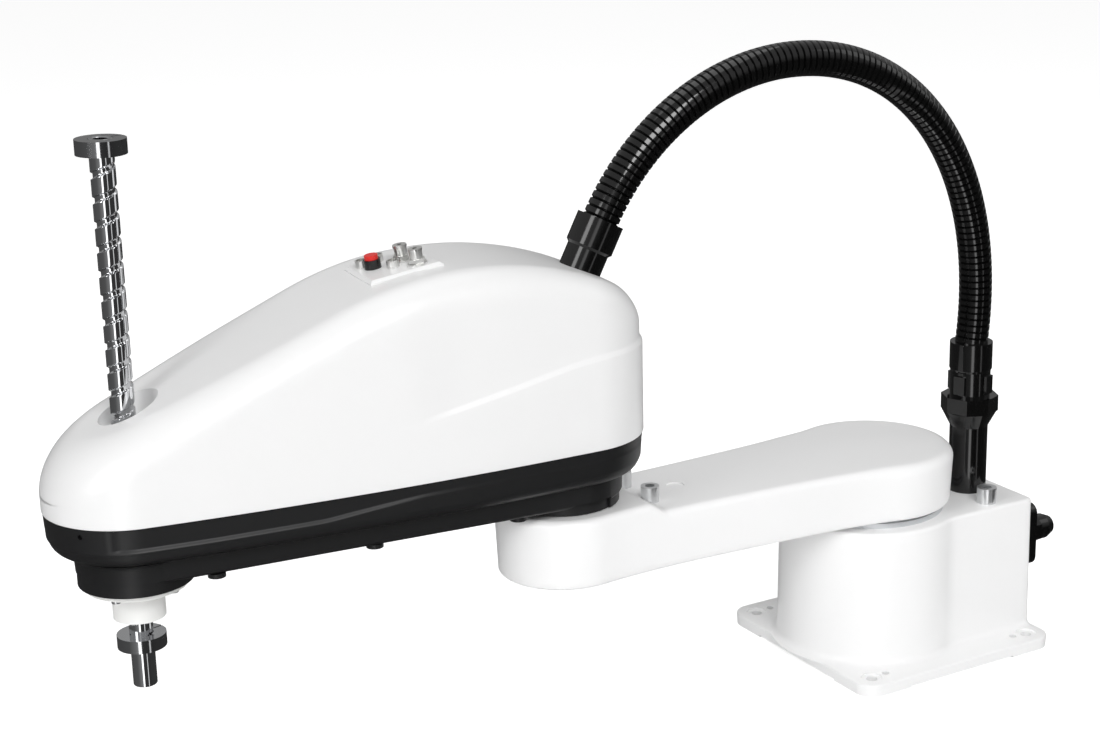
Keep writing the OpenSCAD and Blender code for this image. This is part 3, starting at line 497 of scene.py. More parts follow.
def add_node(tree, kind, links=None, **settings):
    """Adds a node. Settings are its properties or input values, and links
    map its inputs, by name or by number, to outputs of earlier nodes. A
    Mix node's two values are inputs 2 and 3, its two colours 6 and 7."""
    made = tree.nodes.new(kind)
    for key, value in settings.items():
        if hasattr(made, key):
            setattr(made, key, value)
        else:
            made.inputs[key.replace("_", " ")].default_value = value
    for key, source in (links or {}).items():
        name = int(key) if str(key).isdigit() else key
        tree.links.new(source, made.inputs[name])
    return made


def blank_material(name):
    """A new material without nodes, and its tree."""
    mat = bpy.data.materials.new(name)
    mat.use_nodes = True
    mat.node_tree.nodes.clear()
    return mat, mat.node_tree


def surface(name, colour, rough, metal=0.0, grain_mm=1.0, bump=0.0,
            mottle=0.03, rough_spread=0.04, ior=1.5):
    """A finish with noise on the object's own coordinates: fine noise of
    grain_mm varies the gloss and lifts the surface by bump mm, and slow
    noise of DRIFT_MM darkens the colour by up to the share mottle."""
    mat, tree = blank_material(name)
    where = add_node(tree, "ShaderNodeTexCoord").outputs["Object"]
    fine = add_node(tree, "ShaderNodeTexNoise", {"Vector": where},
                    Scale=1 / (grain_mm * MM), Detail=3.0)
    slow = add_node(tree, "ShaderNodeTexNoise", {"Vector": where},
                    Scale=1 / (DRIFT_MM * MM), Detail=2.0)
    full = linear(colour)
    tint = add_node(tree, "ShaderNodeMix",
                    {"Factor": slow.outputs["Fac"]}, data_type="RGBA")
    tint.inputs[6].default_value = (*(v * (1 - mottle) for v in full[:3]),
                                    1.0)
    tint.inputs[7].default_value = full
    gloss = add_node(tree, "ShaderNodeMapRange",
                     {"Value": fine.outputs["Fac"]},
                     To_Min=max(rough - rough_spread, 0.02),
                     To_Max=rough + rough_spread)
    shader = add_node(tree, "ShaderNodeBsdfPrincipled",
                      {"Base Color": tint.outputs[2],
                       "Roughness": gloss.outputs[0]}, Metallic=metal)
    if not metal:
        shader.inputs["IOR"].default_value = ior
    if bump:
        relief = add_node(tree, "ShaderNodeBump",
                          {"Height": fine.outputs["Fac"]},
                          Strength=1.0, Distance=bump * MM)
        tree.links.new(relief.outputs[0], shader.inputs["Normal"])
    add_node(tree, "ShaderNodeOutputMaterial",
             {"Surface": shader.outputs[0]})
    return mat


# Each entry: the real finish and what it gives the eye.
FINISHES = {
    # Polyester powder coat on cast aluminium: satin, faint orange peel of
    # about 1.5 mm.
    "white_paint": dict(
        name="powder_coated_aluminium", colour="#FAFAFA", rough=0.34,
        grain_mm=1.6, bump=0.012, mottle=0.015),
    # Painted ABS moulding: smoother and glossier than the castings.
    "white_shell": dict(
        name="painted_abs", colour="#EDEDED", rough=0.3, grain_mm=2.2,
        bump=0.006, mottle=0.012),
    # Turned polyacetal: dull, very slightly milky.
    "white_polymer": dict(
        name="turned_acetal", colour="#F0F0EE", rough=0.42, grain_mm=0.6,
        bump=0.004, mottle=0.02, ior=1.48),
    # Black enamel on cast aluminium: satin, soft light along its edges.
    "black_cast": dict(
        name="enamelled_aluminium", colour="#1B1B1C", rough=0.42,
        grain_mm=1.4, bump=0.006, mottle=0.12, ior=1.42),
    # Moulded polyamide fittings: black, glossy.
    "black_plastic": dict(
        name="moulded_polyamide", colour="#070707", rough=0.12,
        grain_mm=0.5, bump=0.003, mottle=0.15, ior=1.53),
    # Corrugated polyamide hose: black with glossy crowns.
    "hose_polyamide": dict(
        name="corrugated_polyamide", colour="#070707", rough=0.12,
        grain_mm=0.6, bump=0.002, mottle=0.15, ior=1.53),
    # Hard chromed, ground bearing steel: mirrors, with thin bright lines.
    "bright_steel": dict(
        name="hard_chromed_steel", colour="#CFD0D2", rough=0.06, metal=1.0,
        grain_mm=0.5, mottle=0.05, rough_spread=0.02),
    # Turned, polished stainless steel: mirrors a little softer.
    "dark_steel": dict(
        name="polished_stainless_steel", colour="#BEBFC1", rough=0.1,
        metal=1.0, grain_mm=0.5, mottle=0.08, rough_spread=0.03),
    # Zinc plated screws: bright, soft gloss.
    "zinc_steel": dict(
        name="zinc_plated_steel", colour="#E4E5E6", rough=0.34, metal=1.0,
        grain_mm=0.4, mottle=0.06),
    # Machined aluminium with 0.4 mm tool marks.
    "bare_aluminium": dict(
        name="milled_aluminium", colour="#D2D4D6", rough=0.34, metal=1.0,
        grain_mm=0.4, mottle=0.06, bump=0.004),
    # Ground gear steel: pale, with a broad sheen.
    "gear_steel": dict(
        name="ground_gear_steel", colour="#E2E4E6", rough=0.42, metal=1.0,
        grain_mm=0.5, mottle=0.08),
    # Black enamelled motor housing: half gloss.
    "motor_black": dict(
        name="black_enamelled_steel", colour="#242426", rough=0.4,
        grain_mm=0.8, bump=0.01, mottle=0.1),
    # Neoprene belt: black, dull.
    "belt_rubber": dict(
        name="neoprene_belt", colour="#1A1A1A", rough=0.7, grain_mm=0.7,
        bump=0.02, mottle=0.15),
    # Nickel plated brass: bright, soft gloss.
    "nickel_brass": dict(
        name="nickel_plated_brass", colour="#EAEAE8", rough=0.3, metal=1.0,
        grain_mm=0.4, mottle=0.05),
    # Red moulded ABS cap: satin.
    "red_plastic": dict(
        name="moulded_red_abs", colour="#E0241E", rough=0.36, grain_mm=0.4,
        bump=0.004, mottle=0.06),
}


def finish(slot):
    """The material of a record slot, made once."""
    given = FINISHES[slot]
    return bpy.data.materials.get(given["name"]) or surface(**given)


# ------------------------------------------------------------------ stage
CAMERA_PLACE = (0.997805, 1.285294, 0.703646)
CAMERA_TURN = (32.971, 16.16, -0.231)  # yaw, pitch and roll in degrees
CAMERA_LENS = 68.89
CAMERA_SHIFT = -0.1364

# Each lamp: name, place, point it aims at, size in metres, power in watts.
LAMPS = (("key", (0.7, 2.3, 2.0), (0.2, 0, 0.15), (1.3, 1.1), 40),
         ("top", (0.1, -0.4, 2.3), (0.3, 0, 0.2), (1.5, 1.5), 8),
         ("side", (2.6, 0.9, 1.0), (0.4, 0, 0.25), (0.8, 1.6), 18),
         ("back", (-1.8, 0.9, 1.5), (0, 0, 0.2), (0.9, 1.4), 3))

FLOOR_HALF = 9.0
FLOOR_GLOW = 0.6  # its own white; the lamps and the world give the rest
WORLD_LIGHT = 0.34  # level of the world for what it lights
WORLD_SEEN = 1.0  # and for what looks at it

# What polished surfaces mirror: compass direction in degrees and level, as
# tall strip lights in a dark studio, with a plain level overhead.
STRIPS = ((-180, 0.05), (-115, 0.05), (-60, 0.09), (10, 0.12), (44, 0.26),
          (53, 0.34), (54.5, 2.6), (66.5, 2.6), (68, 0.06), (103, 0.04),
          (104.5, 1.1), (109, 1.1), (110.5, 0.04), (150, 0.05), (180, 0.05))
RAMP_LEVEL = 4.0  # a colour ramp holds 0 to 1, so its stops are divided
OVERHEAD = 0.5
OVERHEAD_RISE = 0.45  # height of the direction at which it is reached


def camera_axes(yaw, pitch, roll):
    """Right, up and back vectors of a camera that looks along
    (-sin yaw, -cos yaw), down by pitch, and is rolled about its view."""
    y, p, r = (math.radians(v) for v in (yaw, pitch, roll))
    ahead = np.array([-math.sin(y) * math.cos(p),
                      -math.cos(y) * math.cos(p), -math.sin(p)])
    right = np.cross(ahead, [0, 0, 1])
    right /= np.linalg.norm(right)
    up = np.cross(right, ahead)
    return (right * math.cos(r) + up * math.sin(r),
            -right * math.sin(r) + up * math.cos(r), -ahead)


def add_light(name, place, target, size, power):
    """A rectangular area lamp aimed at a point."""
    data = bpy.data.lights.new(name, "AREA")
    data.shape = "RECTANGLE"
    data.size, data.size_y = size
    data.energy = power
    lamp = bpy.data.objects.new(name, data)
    bpy.context.scene.collection.objects.link(lamp)
    back = Vector(place) - Vector(target)
    lamp.matrix_world = (Matrix.Translation(place)
                         @ back.to_track_quat("Z", "Y").to_matrix().to_4x4())


def seen_white(tree, lit, share):
    """Adds the share of plain white for camera, glossy and transmission
    rays, so the ground reads white and still darkens where it is shaded."""
    path = add_node(tree, "ShaderNodeLightPath")
    either = add_node(tree, "ShaderNodeMath",
                      {"0": path.outputs["Is Camera Ray"],
                       "1": path.outputs["Is Glossy Ray"]},
                      operation="MAXIMUM")
    any_ray = add_node(tree, "ShaderNodeMath",
                       {"0": either.outputs[0],
                        "1": path.outputs["Is Transmission Ray"]},
                       operation="MAXIMUM")
    glow = add_node(tree, "ShaderNodeEmission", Strength=share)
    dark = add_node(tree, "ShaderNodeEmission", Strength=0.0)
    pick = add_node(tree, "ShaderNodeMixShader",
                    {"0": any_ray.outputs[0], "1": dark.outputs[0],
                     "2": glow.outputs[0]})
    both = add_node(tree, "ShaderNodeAddShader",
                    {"0": lit, "1": pick.outputs[0]})
    return both.outputs[0]


def studio_strips(tree):
    """The strips' level by compass direction at and below the horizon,
    which turns to the overhead level with height."""
    way = add_node(tree, "ShaderNodeTexCoord").outputs["Generated"]
    compass = add_node(tree, "ShaderNodeTexGradient", {"Vector": way},
                       gradient_type="RADIAL")
    ramp = add_node(tree, "ShaderNodeValToRGB",
                    {"Fac": compass.outputs["Fac"]})
    stops = ramp.color_ramp.elements
    while len(stops) < len(STRIPS):
        stops.new(0.5)
    for stop, (angle, level) in zip(stops, STRIPS):
        stop.position = angle / 360 + 0.5
        stop.color = (*[level / RAMP_LEVEL] * 3, 1)
    low = add_node(tree, "ShaderNodeMath", {"0": ramp.outputs["Color"]},
                   operation="MULTIPLY")
    low.inputs[1].default_value = RAMP_LEVEL
    height = add_node(tree, "ShaderNodeSeparateXYZ", {"Vector": way})
    rise = add_node(tree, "ShaderNodeMapRange",
                    {"Value": height.outputs["Z"]},
                    From_Min=0.0, From_Max=OVERHEAD_RISE)
    return add_node(tree, "ShaderNodeMix",
                    {"Factor": rise.outputs[0], "2": low.outputs[0]},
                    data_type="FLOAT", B=OVERHEAD).outputs[0]


class ArmSizes(bpy.types.PropertyGroup):
    """Sizes that a user would change."""
    hose_pitch: bpy.props.FloatProperty(
        name="Hose rib pitch", description="Distance between two hose ribs",
        default=5.4 * MM, unit="LENGTH")
    screw_lead: bpy.props.FloatProperty(
        name="Screw lead", description="Rise of the shaft's groove a turn",
        default=16.0 * MM, unit="LENGTH")
    groove_width: bpy.props.FloatProperty(
        name="Groove width", description="Width of the shaft's screw groove",
        default=4.6 * MM, unit="LENGTH")


class ArmColours(bpy.types.PropertyGroup):
    """Colours of the stage."""
    ground: bpy.props.FloatVectorProperty(
        name="Ground", description="Colour of floor and backdrop",
        default=linear("#FFFFFF")[:3], size=3, subtype="COLOR")


class ARM_OT_stage(bpy.types.Operator):
    """Camera, lamps, floor and world"""
    bl_idname = "arm.stage"
    bl_label = "Stage"

    def execute(self, context):
        scene = context.scene
        scene.view_settings.view_transform = "Standard"
        data = bpy.data.cameras.new("camera")
        data.sensor_width = 36
        data.lens = CAMERA_LENS
        data.shift_x = CAMERA_SHIFT
        data.clip_end = 50
        cam = bpy.data.objects.new("camera", data)
        scene.collection.objects.link(cam)
        axes = np.stack(camera_axes(*CAMERA_TURN), -1)
        cam.matrix_world = (Matrix.Translation(CAMERA_PLACE)
                            @ Matrix(axes.tolist()).to_4x4())
        scene.camera = cam

        mat, tree = blank_material("ground_white")
        lit = add_node(tree, "ShaderNodeBsdfDiffuse",
                       Color=(*scene.arm_colours.ground, 1.0))
        both = seen_white(tree, lit.outputs[0], FLOOR_GLOW)
        add_node(tree, "ShaderNodeOutputMaterial", {"Surface": both})
        mesh = bpy.data.meshes.new("floor")
        half = FLOOR_HALF
        mesh.from_pydata([(-half, -half, 0), (half, -half, 0),
                          (half, half, 0), (-half, half, 0)], [],
                         [(0, 1, 2, 3)])
        floor = bpy.data.objects.new("floor", mesh)
        scene.collection.objects.link(floor)
        mesh.materials.append(mat)
        # Polished metal and black gloss mirror the studio, not the floor.
        floor.visible_glossy = False

        world = bpy.data.worlds.new("studio")
        scene.world = world
        world.use_nodes = True
        tree = world.node_tree
        tree.nodes.clear()
        path = add_node(tree, "ShaderNodeLightPath")
        seen = add_node(tree, "ShaderNodeMath",
                        {"0": path.outputs["Is Camera Ray"],
                         "1": path.outputs["Is Transmission Ray"]},
                        operation="MAXIMUM")
        level = add_node(tree, "ShaderNodeMapRange",
                         {"Value": seen.outputs[0]},
                         To_Min=WORLD_LIGHT, To_Max=WORLD_SEEN)
        pick = add_node(tree, "ShaderNodeMix",
                        {"Factor": path.outputs["Is Glossy Ray"],
                         "2": level.outputs[0],
                         "3": studio_strips(tree)}, data_type="FLOAT")
        sky = add_node(tree, "ShaderNodeBackground",
                       {"Strength": pick.outputs[0]},
                       Color=(1, 1, 1, 1))
        add_node(tree, "ShaderNodeOutputWorld", {"Surface": sky.outputs[0]})
        for lamp in LAMPS:
            add_light(*lamp)
        return {"FINISHED"}


def roof(s):
    """Height of the cover over the forearm's axis: a crest arc, then a
    straight tangent fall."""
    over = CREST_Z - CREST_R + np.sqrt(
        np.maximum(CREST_R ** 2 - (s - CREST_S) ** 2, 1))
    fall = (CREST_Z - CREST_R * (1 - math.cos(ROOF_FALL))
            - (s - FALL_S) * math.tan(ROOF_FALL))
    return np.where(s < FALL_S, over, fall)


def shoulder(s):
    """Radius between the cover's wall and its roof: 20 mm up to 30 mm
    behind the elbow, 22 from 30 mm in front of it, 28 over the nose."""
    return (20 + 2 * smooth_step((s + 30) / 60)
            + 6 * smooth_step((s - 230) / 120))


def crease_z(s):
    """Height of the styling step: its line, averaged over 60 mm so that it
    has no corners."""
    near = s[..., None] + np.linspace(-30, 30, 13)
    return SEAM_Z + np.interp(near, *zip(*CREASE_LINE)).mean(-1)


def shell_rings(outline, wall, steps):
    """Rings of the cover's surface, or of the same surface wall inside it,
    from the seam up: a plain wall, the styling step, the shoulder and the
    roof. A point at angle a of the shoulder lies r(1 - cos a) inside the
    outline and r(1 - sin a) below the roof. The step is set in by
    CREASE_STEP over the elbow and fades out from 100 to 145 mm."""
    s0 = outline[:, 0]
    round_r = shoulder(s0) - wall
    step = CREASE_STEP * (1 - smooth_step((s0 - 100) / 45))
    if wall:
        rings = [level_ring(outline, CREASE_STEP + wall, SEAM_Z)]
    else:
        low = crease_z(s0) - CREASE_BELOW
        high = crease_z(s0) + CREASE_ABOVE
        wall_top = roof(s0) - round_r
        lip = SEAM_Z + 1
        rings = [level_ring(outline, 0.9, SEAM_Z),
                 level_ring(outline, 0.25, SEAM_Z + 0.3),
                 level_ring(outline, 0.0, lip)]
        rings += [level_ring(outline, 0.0, lip + (low - lip) * f)
                  for f in np.linspace(0.15, 1, 7)]
        rings += [level_ring(outline, step * smooth_step(t),
                             low + (high - low) * t)
                  for t in np.linspace(0.1, 1, 8)]
        rings += [level_ring(outline, step, high + (wall_top - high) * f)
                  for f in np.linspace(0.12, 0.95, 10)]
    return rings + [roof_ring(outline, step + wall + round_r * c, roof,
                              wall + round_r * d)
                    for c, d in quarter(steps)]


def entry_frame():
    """Place and turn of the hose fitting on the cover's roof."""
    z = float(roof(np.array([ENTRY_S]))[0]) + ENTRY_LIFT
    place = to_forearm([ENTRY_S, 0, z])
    turn = (Matrix.Translation(place.tolist())
            @ Matrix.Rotation(ARM2_TURN, 4, "Z")
            @ Matrix.Rotation(-ENTRY_TILT, 4, "Y"))
    return np.array(turn)


class ARM_OT_cover(bpy.types.Operator):
    """White forearm cover"""
    bl_idname = "arm.cover"
    bl_label = "Forearm cover"

    def execute(self, context):
        outline = forearm_outline()
        pts, faces = closed_skin(shell_rings(outline, 0, 16), 8, 12)
        cover = make_piece("cover_shell", to_forearm(pts), faces,
                           finish("white_shell"), sharp=40)
        inner = shell_rings(outline, COVER_WALL, 7)
        below = inner[0] - np.array([0, 0, 3.0])
        pts, faces = closed_skin([below] + inner, 8, 12)
        cavity = cutter_mesh(to_forearm(pts), faces)
        # The cavity leaves a column of wall round the pocket.
        well_xy = to_forearm([ARM2_LEN - POCKET_BACK, 0, 0])[:2]
        carve(cavity, [cylinder_cutter(
            POCKET_R + POCKET_WALL, POCKET_Z - POCKET_WALL, ABOVE_ROOF,
            well_xy)])
        # The pocket flares as t^2.2 over the 34 mm that may reach the roof.
        t = np.linspace(0, 1, 9)
        rim = np.stack([POCKET_R + POCKET_FLARE * t ** 2.2,
                        POCKET_Z + 6 + 34 * t], -1)
        profile = np.concatenate([
            [(0, POCKET_Z), (POCKET_R - 2, POCKET_Z),
             (POCKET_R - 0.6, POCKET_Z + 0.6), (POCKET_R, POCKET_Z + 2)],
            rim, [(rim[-1, 0], ABOVE_ROOF), (0, ABOVE_ROOF)]])
        well = cutter_mesh(*lathe(profile, 96, well_xy))
        hole = cylinder_cutter(SHAFT_HOLE_R, POCKET_Z - 20, POCKET_Z + 4,
                               TOOL[:2])
        entry = cylinder_cutter(ENTRY_R, -16, 16, (0, 0),
                                turn=entry_frame())
        carve(cover, [cavity, well, hole, entry], sharp=40)
        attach(cover, "arm_2")
        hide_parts("forearm_cover")
        return {"FINISHED"}


def ledge_in(s):
    """Depth of the set-back along the forearm: it grows from 60 to 190 mm
    and fades out from 22 to 28 mm past the shaft."""
    return (LEDGE_DEPTH * smooth_step((s - 60) / 130)
            * (1 - smooth_step((s - ARM2_LEN - 22) / 6)))


def ledge_rings(outline):
    """Rings of the casting's upper skin. Over a line that climbs to the
    rear the skin is set back by ledge_in, on a 45 degree ledge with a
    rounded edge. Above the ledge it leans out again, by 0.9 k, where k
    runs from 0 at the ledge to 1 at the seam."""
    s0 = outline[:, 0]
    set_in = ledge_in(s0)
    line = SEAM_Z + np.interp(s0, *zip(*LEDGE_LINE))
    top = line + LEDGE_TOP
    # Each row: depth, height over the line, share of the set-back.
    rows = [(1.75, -0.9, 0.0), (1.62, -0.3, 0.02), (1.6, 0.1, 0.1),
            (1.58, 1.0, 0.45), (1.55, 1.9, 0.85), (1.53, 2.3, 0.97),
            (1.5, LEDGE_TOP, 1.0)]
    rings = [level_ring(outline, depth + share * set_in, line + rise)
             for depth, rise, share in rows]
    rings += [level_ring(outline, 1.5 - 0.9 * k + set_in,
                         top + (SEAM_Z - top) * k)
              for k in (0.25, 0.5, 0.75, 0.97)]
    return rings + [level_ring(outline, 4.6, SEAM_Z)]


def neck_window(side):
    """A cutter for a shallow window in one side of the elbow neck: a curved
    slab between two radii and two angles off the forearm's axis, with
    rounded upper corners of radius c: its top falls by
    c (1 - sqrt(1 - u^2)), where u runs from 0 to 1 over the last c of each
    end."""
    a = np.radians(np.linspace(WINDOW_FROM, WINDOW_TO, 61))
    from_end = NECK_R * np.minimum(a - a[0], a[-1] - a)
    u = np.clip(1 - from_end / WINDOW_CORNER, 0, 1)
    top = (KEEL_LOW + WINDOW_HIGH
           - WINDOW_CORNER * (1 - np.sqrt(1 - u ** 2)))
    low = np.full_like(a, PAD_Z - 1)
    inner, outer = NECK_R - WINDOW_DEEP, NECK_R + 3
    rows = [(inner, low), (inner, top), (outer, top), (outer, low)]
    ring = np.stack([np.stack([r * np.cos(a), side * r * np.sin(a), z], -1)
                     for r, z in rows], 1)
    ends = [np.repeat(end.mean(1, keepdims=True), 4, 1)
            for end in (ring[:1], ring[-1:])]
    pts = np.concatenate([ends[0], ring, ends[1]])
    return cutter_mesh(to_forearm(pts.reshape(-1, 3)),
                       ring_faces(len(pts), 4))


class ARM_OT_forearm(bpy.types.Operator):
    """Black forearm casting"""
    bl_idname = "arm.forearm"
    bl_label = "Forearm casting"

    def execute(self, context):
        # Rings of the band, as (depth, height): its rounded foot, its upper
        # skin with the ledge, and the inside down to the tray's floor.
        outline = forearm_outline(30, 60, 36)
        foot = [(20, -0.3), (17, 0.2), (15, 1), (11, 2.6), (8, 4.2),
                (6.2, 5.6), (4.8, 7.2), (3.7, 9.2), (2.9, 11), (2.3, 12.8)]
        inside = [(7, SEAM_Z), (8.2, FLOOR_TOP + 13), (12, FLOOR_TOP + 6),
                  (19, FLOOR_TOP)]
        rings = [level_ring(outline, d, FLOOR_LOW + z) for d, z in foot]
        rings += ledge_rings(outline)
        rings += [level_ring(outline, d, z) for d, z in inside]
        pts, faces = closed_skin(rings, 6, 6)
        body = make_piece("forearm_body", to_forearm(pts), faces,
                          finish("black_cast"))
        outline = keel_outline()
        rows = [(6.5, KEEL_LOW), (4.6, KEEL_LOW + 0.1),
                (3, KEEL_LOW + 0.7), (1.6, KEEL_LOW + 1.9),
                (0.8, KEEL_LOW + 3.5), (0, FLOOR_LOW + 3)]
        rings = [level_ring(outline, d, z) for d, z in rows]
        pts, faces = closed_skin(rings, 4, 4)
        keel = cutter_mesh(to_forearm(pts), faces)
        neck = rounded([(0, PAD_Z + 0.8), (NECK_R, PAD_Z + 0.8),
                        (NECK_R, FLOOR_LOW - 2, 3),
                        (NECK_R + 3, FLOOR_LOW + 0.5),
                        (0, FLOOR_LOW + 0.5)])
        nose = rounded([(0, PAD_Z), (NOSE_NECK_R, PAD_Z),
                        (NOSE_NECK_R - 0.2, FLOOR_LOW - 5.4, 2),
                        (NOSE_NECK_R + 2, FLOOR_LOW - 1, 3),
                        (NOSE_NECK_R + 4, FLOOR_LOW + 0.6),
                        (0, FLOOR_LOW + 0.6)])
        carve(body, [keel, cutter_mesh(*lathe(neck, 128, ELBOW[:2])),
                     cutter_mesh(*lathe(nose, 128, TOOL[:2]))], "UNION")
        # A small dimple in the nose, 41 degrees off the forearm's axis.
        side = ARM2_TURN + math.radians(41)
        dimple = cylinder_cutter(
            1.8, -4, 10, (0, 0), 24,
            turn=np.array(Matrix.Translation(
                (TOOL[0] + NOSE_R * math.cos(side),
                 TOOL[1] + NOSE_R * math.sin(side), SEAM_Z - 5.6))
                @ Matrix.Rotation(side, 4, "Z")
                @ Matrix.Rotation(math.pi / 2, 4, "Y")))
        # The elbow neck is wider at its foot, where the post stands.
        post = cylinder_cutter(37, PAD_Z - 1, PAD_Z + 14, ELBOW[:2])
        gear = cylinder_cutter(GEAR_BORE_R, PAD_Z + 13, SEAM_Z - 10,
                               ELBOW[:2])
        bearing = cylinder_cutter(BEARING_BORE_R, PAD_Z - 1, SEAM_Z - 10,
                                  TOOL[:2])
        carve(body, [post, gear, bearing, dimple, neck_window(1),
                     neck_window(-1)])
        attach(body, "arm_2")
        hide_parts("forearm_casting")
        return {"FINISHED"}


def arm_top(x):
    """Height of the upper arm, with the smooth rise to the elbow pad."""
    return ARM1_TOP + PAD_RISE * smooth_step(
        (x - RAMP_MID + RAMP_HALF) / (2 * RAMP_HALF))


class ARM_OT_upper_arm(bpy.types.Operator):
    """White upper arm casting"""
    bl_idname = "arm.upper_arm"
    bl_label = "Upper arm"

    def execute(self, context):
        outline = upper_arm_outline()
        x0 = outline[:, 0]
        # The upper edge's radius grows towards the head, over x = 60 to 20.
        edge = ELBOW_EDGE + (HEAD_EDGE - ELBOW_EDGE) * smooth_step(
            (60 - x0) / 40)
        foot_z = ARM1_Z0 + 2
        rings = [level_ring(outline, d, ARM1_Z0 + z) for d, z in
                 ((4.2, 0), (3.5, 0.1), (2.9, 0.5), (2.2, 1.2),
                  (ARM1_DRAFT, 2))]
        high_z = arm_top(x0) - edge
        rings += [level_ring(outline, ARM1_DRAFT * (1 - f),
                             foot_z + (high_z - foot_z) * f)
                  for f in np.linspace(0.1, 0.95, 9)]
        rings += [roof_ring(outline, edge * c, arm_top, edge * d)
                  for c, d in quarter(10)]
        pts, faces = closed_skin(rings, 6, 10)
        arm = make_piece("upper_arm_body", pts, faces,
                         finish("white_paint"))
        over = ARM1_TOP + 20
        cuts = [cylinder_cutter(STOP_SEAT_R, ARM1_TOP, over,
                                (ARM1_LEN - STOP_BACK, y))
                for y in (-STOP_SIDE, STOP_SIDE)]
        cuts.append(cylinder_cutter(PLUG_R, ARM1_TOP - 1, over,
                                    (RAMP_MID - PLUG_BACK, 0)))
        # Two lightening pockets from below.
        cuts += [box_cutter((x, 0, ARM1_Z0 + 18), LIGHTENING_HALF, 5)
                 for x in LIGHTENING_X]
        carve(arm, cuts)
        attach(arm, "arm_1")
        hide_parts("arm_1_casting")
        return {"FINISHED"}


class ARM_OT_base(bpy.types.Operator):
    """White base casting"""
    bl_idname = "arm.base"
    bl_label = "Base casting"

    def execute(self, context):
        half_z = PLATE_THICK / 2
        rows = [(0.5, -half_z)] + [
            (PLATE_EDGE * c, half_z - PLATE_EDGE * d) for c, d in quarter(5)]
        base = make_piece("base_body", *rounded_slab(
            (PLATE_X, 0, half_z), (PLATE_HALF, PLATE_HALF), PLATE_CORNER,
            rows, 10), finish("white_paint"))
        # The tower: foot fillet, tapered wall, rounded upper edge.
        outline = tower_outline()
        rings = [level_ring(outline, -TOWER_TAPER - FOOT_FILLET,
                            PLATE_THICK - 1)]
        rings += [level_ring(outline, -TOWER_TAPER - FOOT_FILLET * d,
                             PLATE_THICK + FOOT_FILLET * c)
                  for c, d in quarter(9)]
        low, high = PLATE_THICK + FOOT_FILLET, BASE_H - BASE_EDGE
        rings += [level_ring(outline, -TOWER_TAPER * (1 - f),
                             low + (high - low) * f)
                  for f in np.linspace(0.1, 0.95, 9)]
        rings += [level_ring(outline, BASE_EDGE * c, BASE_H - BASE_EDGE * d)
                  for c, d in quarter(7)]
        carve(base, [cutter_mesh(*closed_skin(rings, 6, 6))], "UNION")
        cuts = []
        over = PLATE_THICK + 1
        for i in (-1, 1):
            for j in (-1, 1):
                at = (PLATE_X + i * BOLT_HALF, j * BOLT_HALF)
                bolt = [(0, -1), (BOLT_R, -1), (BOLT_R, BOLT_SEAT_Z),
                        (BOLT_HEAD_R, BOLT_SEAT_Z), (BOLT_HEAD_R, over),
                        (0, over)]
                cuts.append(cutter_mesh(*lathe(bolt, 64, at)))
                at = (PLATE_X + i * (BOLT_HALF - DOWEL_SHIFT), at[1])
                cuts.append(cylinder_cutter(DOWEL_R, -1, over, at, 48))
        # The plate stands on four pads, left by two shallow channels.
        wide, narrow = PLATE_HALF + 2, PLATE_HALF - FOOT_PAD
        cuts += [box_cutter((PLATE_X, 0, 0), (x, y, CHANNEL_DEEP), 1)
                 for x, y in ((wide, narrow), (narrow, wide))]
        # The hollow, open below.
        low, high = -3, BASE_H - BASE_WALL
        cuts.append(cylinder_cutter(TOWER_BORE_R, low, high, (0, 0),
                                    128))
        rear = (REAR_X + BASE_WALL) / 2
        cuts.append(box_cutter(
            (rear, 0, (high + low) / 2),
            (-rear, REAR_HALF_W - BASE_WALL, (high - low) / 2), 2))
        carve(base, cuts)
        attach(base, "base")
        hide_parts("base_casting")
        return {"FINISHED"}


def shaft_depth(angle, z, z0, z1, lead, width):
    """Depth of the shaft's grooves at an angle and height. The screw groove
    is GROOVE_DEPTH (1.25 - u^4) deep, at most GROOVE_DEPTH, where u is the
    distance from its middle over half its width. It fades at both ends. The
    three straight spline grooves are SPLINE_DEPTH (1 - v^2) deep, where v
    is the angle from their middle over SPLINE_HALF."""
    from_start = z - z0 - GROOVE_FROM
    turns = (from_start - lead * angle / (2 * np.pi)) / lead
    u = np.abs((turns + 0.5) % 1 - 0.5) * lead / (width / 2)
    fade = (smooth_step(from_start / GROOVE_FADE)
            * smooth_step((z1 - GROOVE_TO - z) / GROOVE_FADE))
    groove = GROOVE_DEPTH * np.clip(1.25 - u ** 4, 0, 1) * fade
    third = (angle + np.pi / 3) % (2 * np.pi / 3) - np.pi / 3
    spline = SPLINE_DEPTH * np.clip(1 - (third / SPLINE_HALF) ** 2, 0, 1)
    return np.maximum(groove, spline
                      * smooth_step((z - z0 - SPLINE_FROM) / 2))


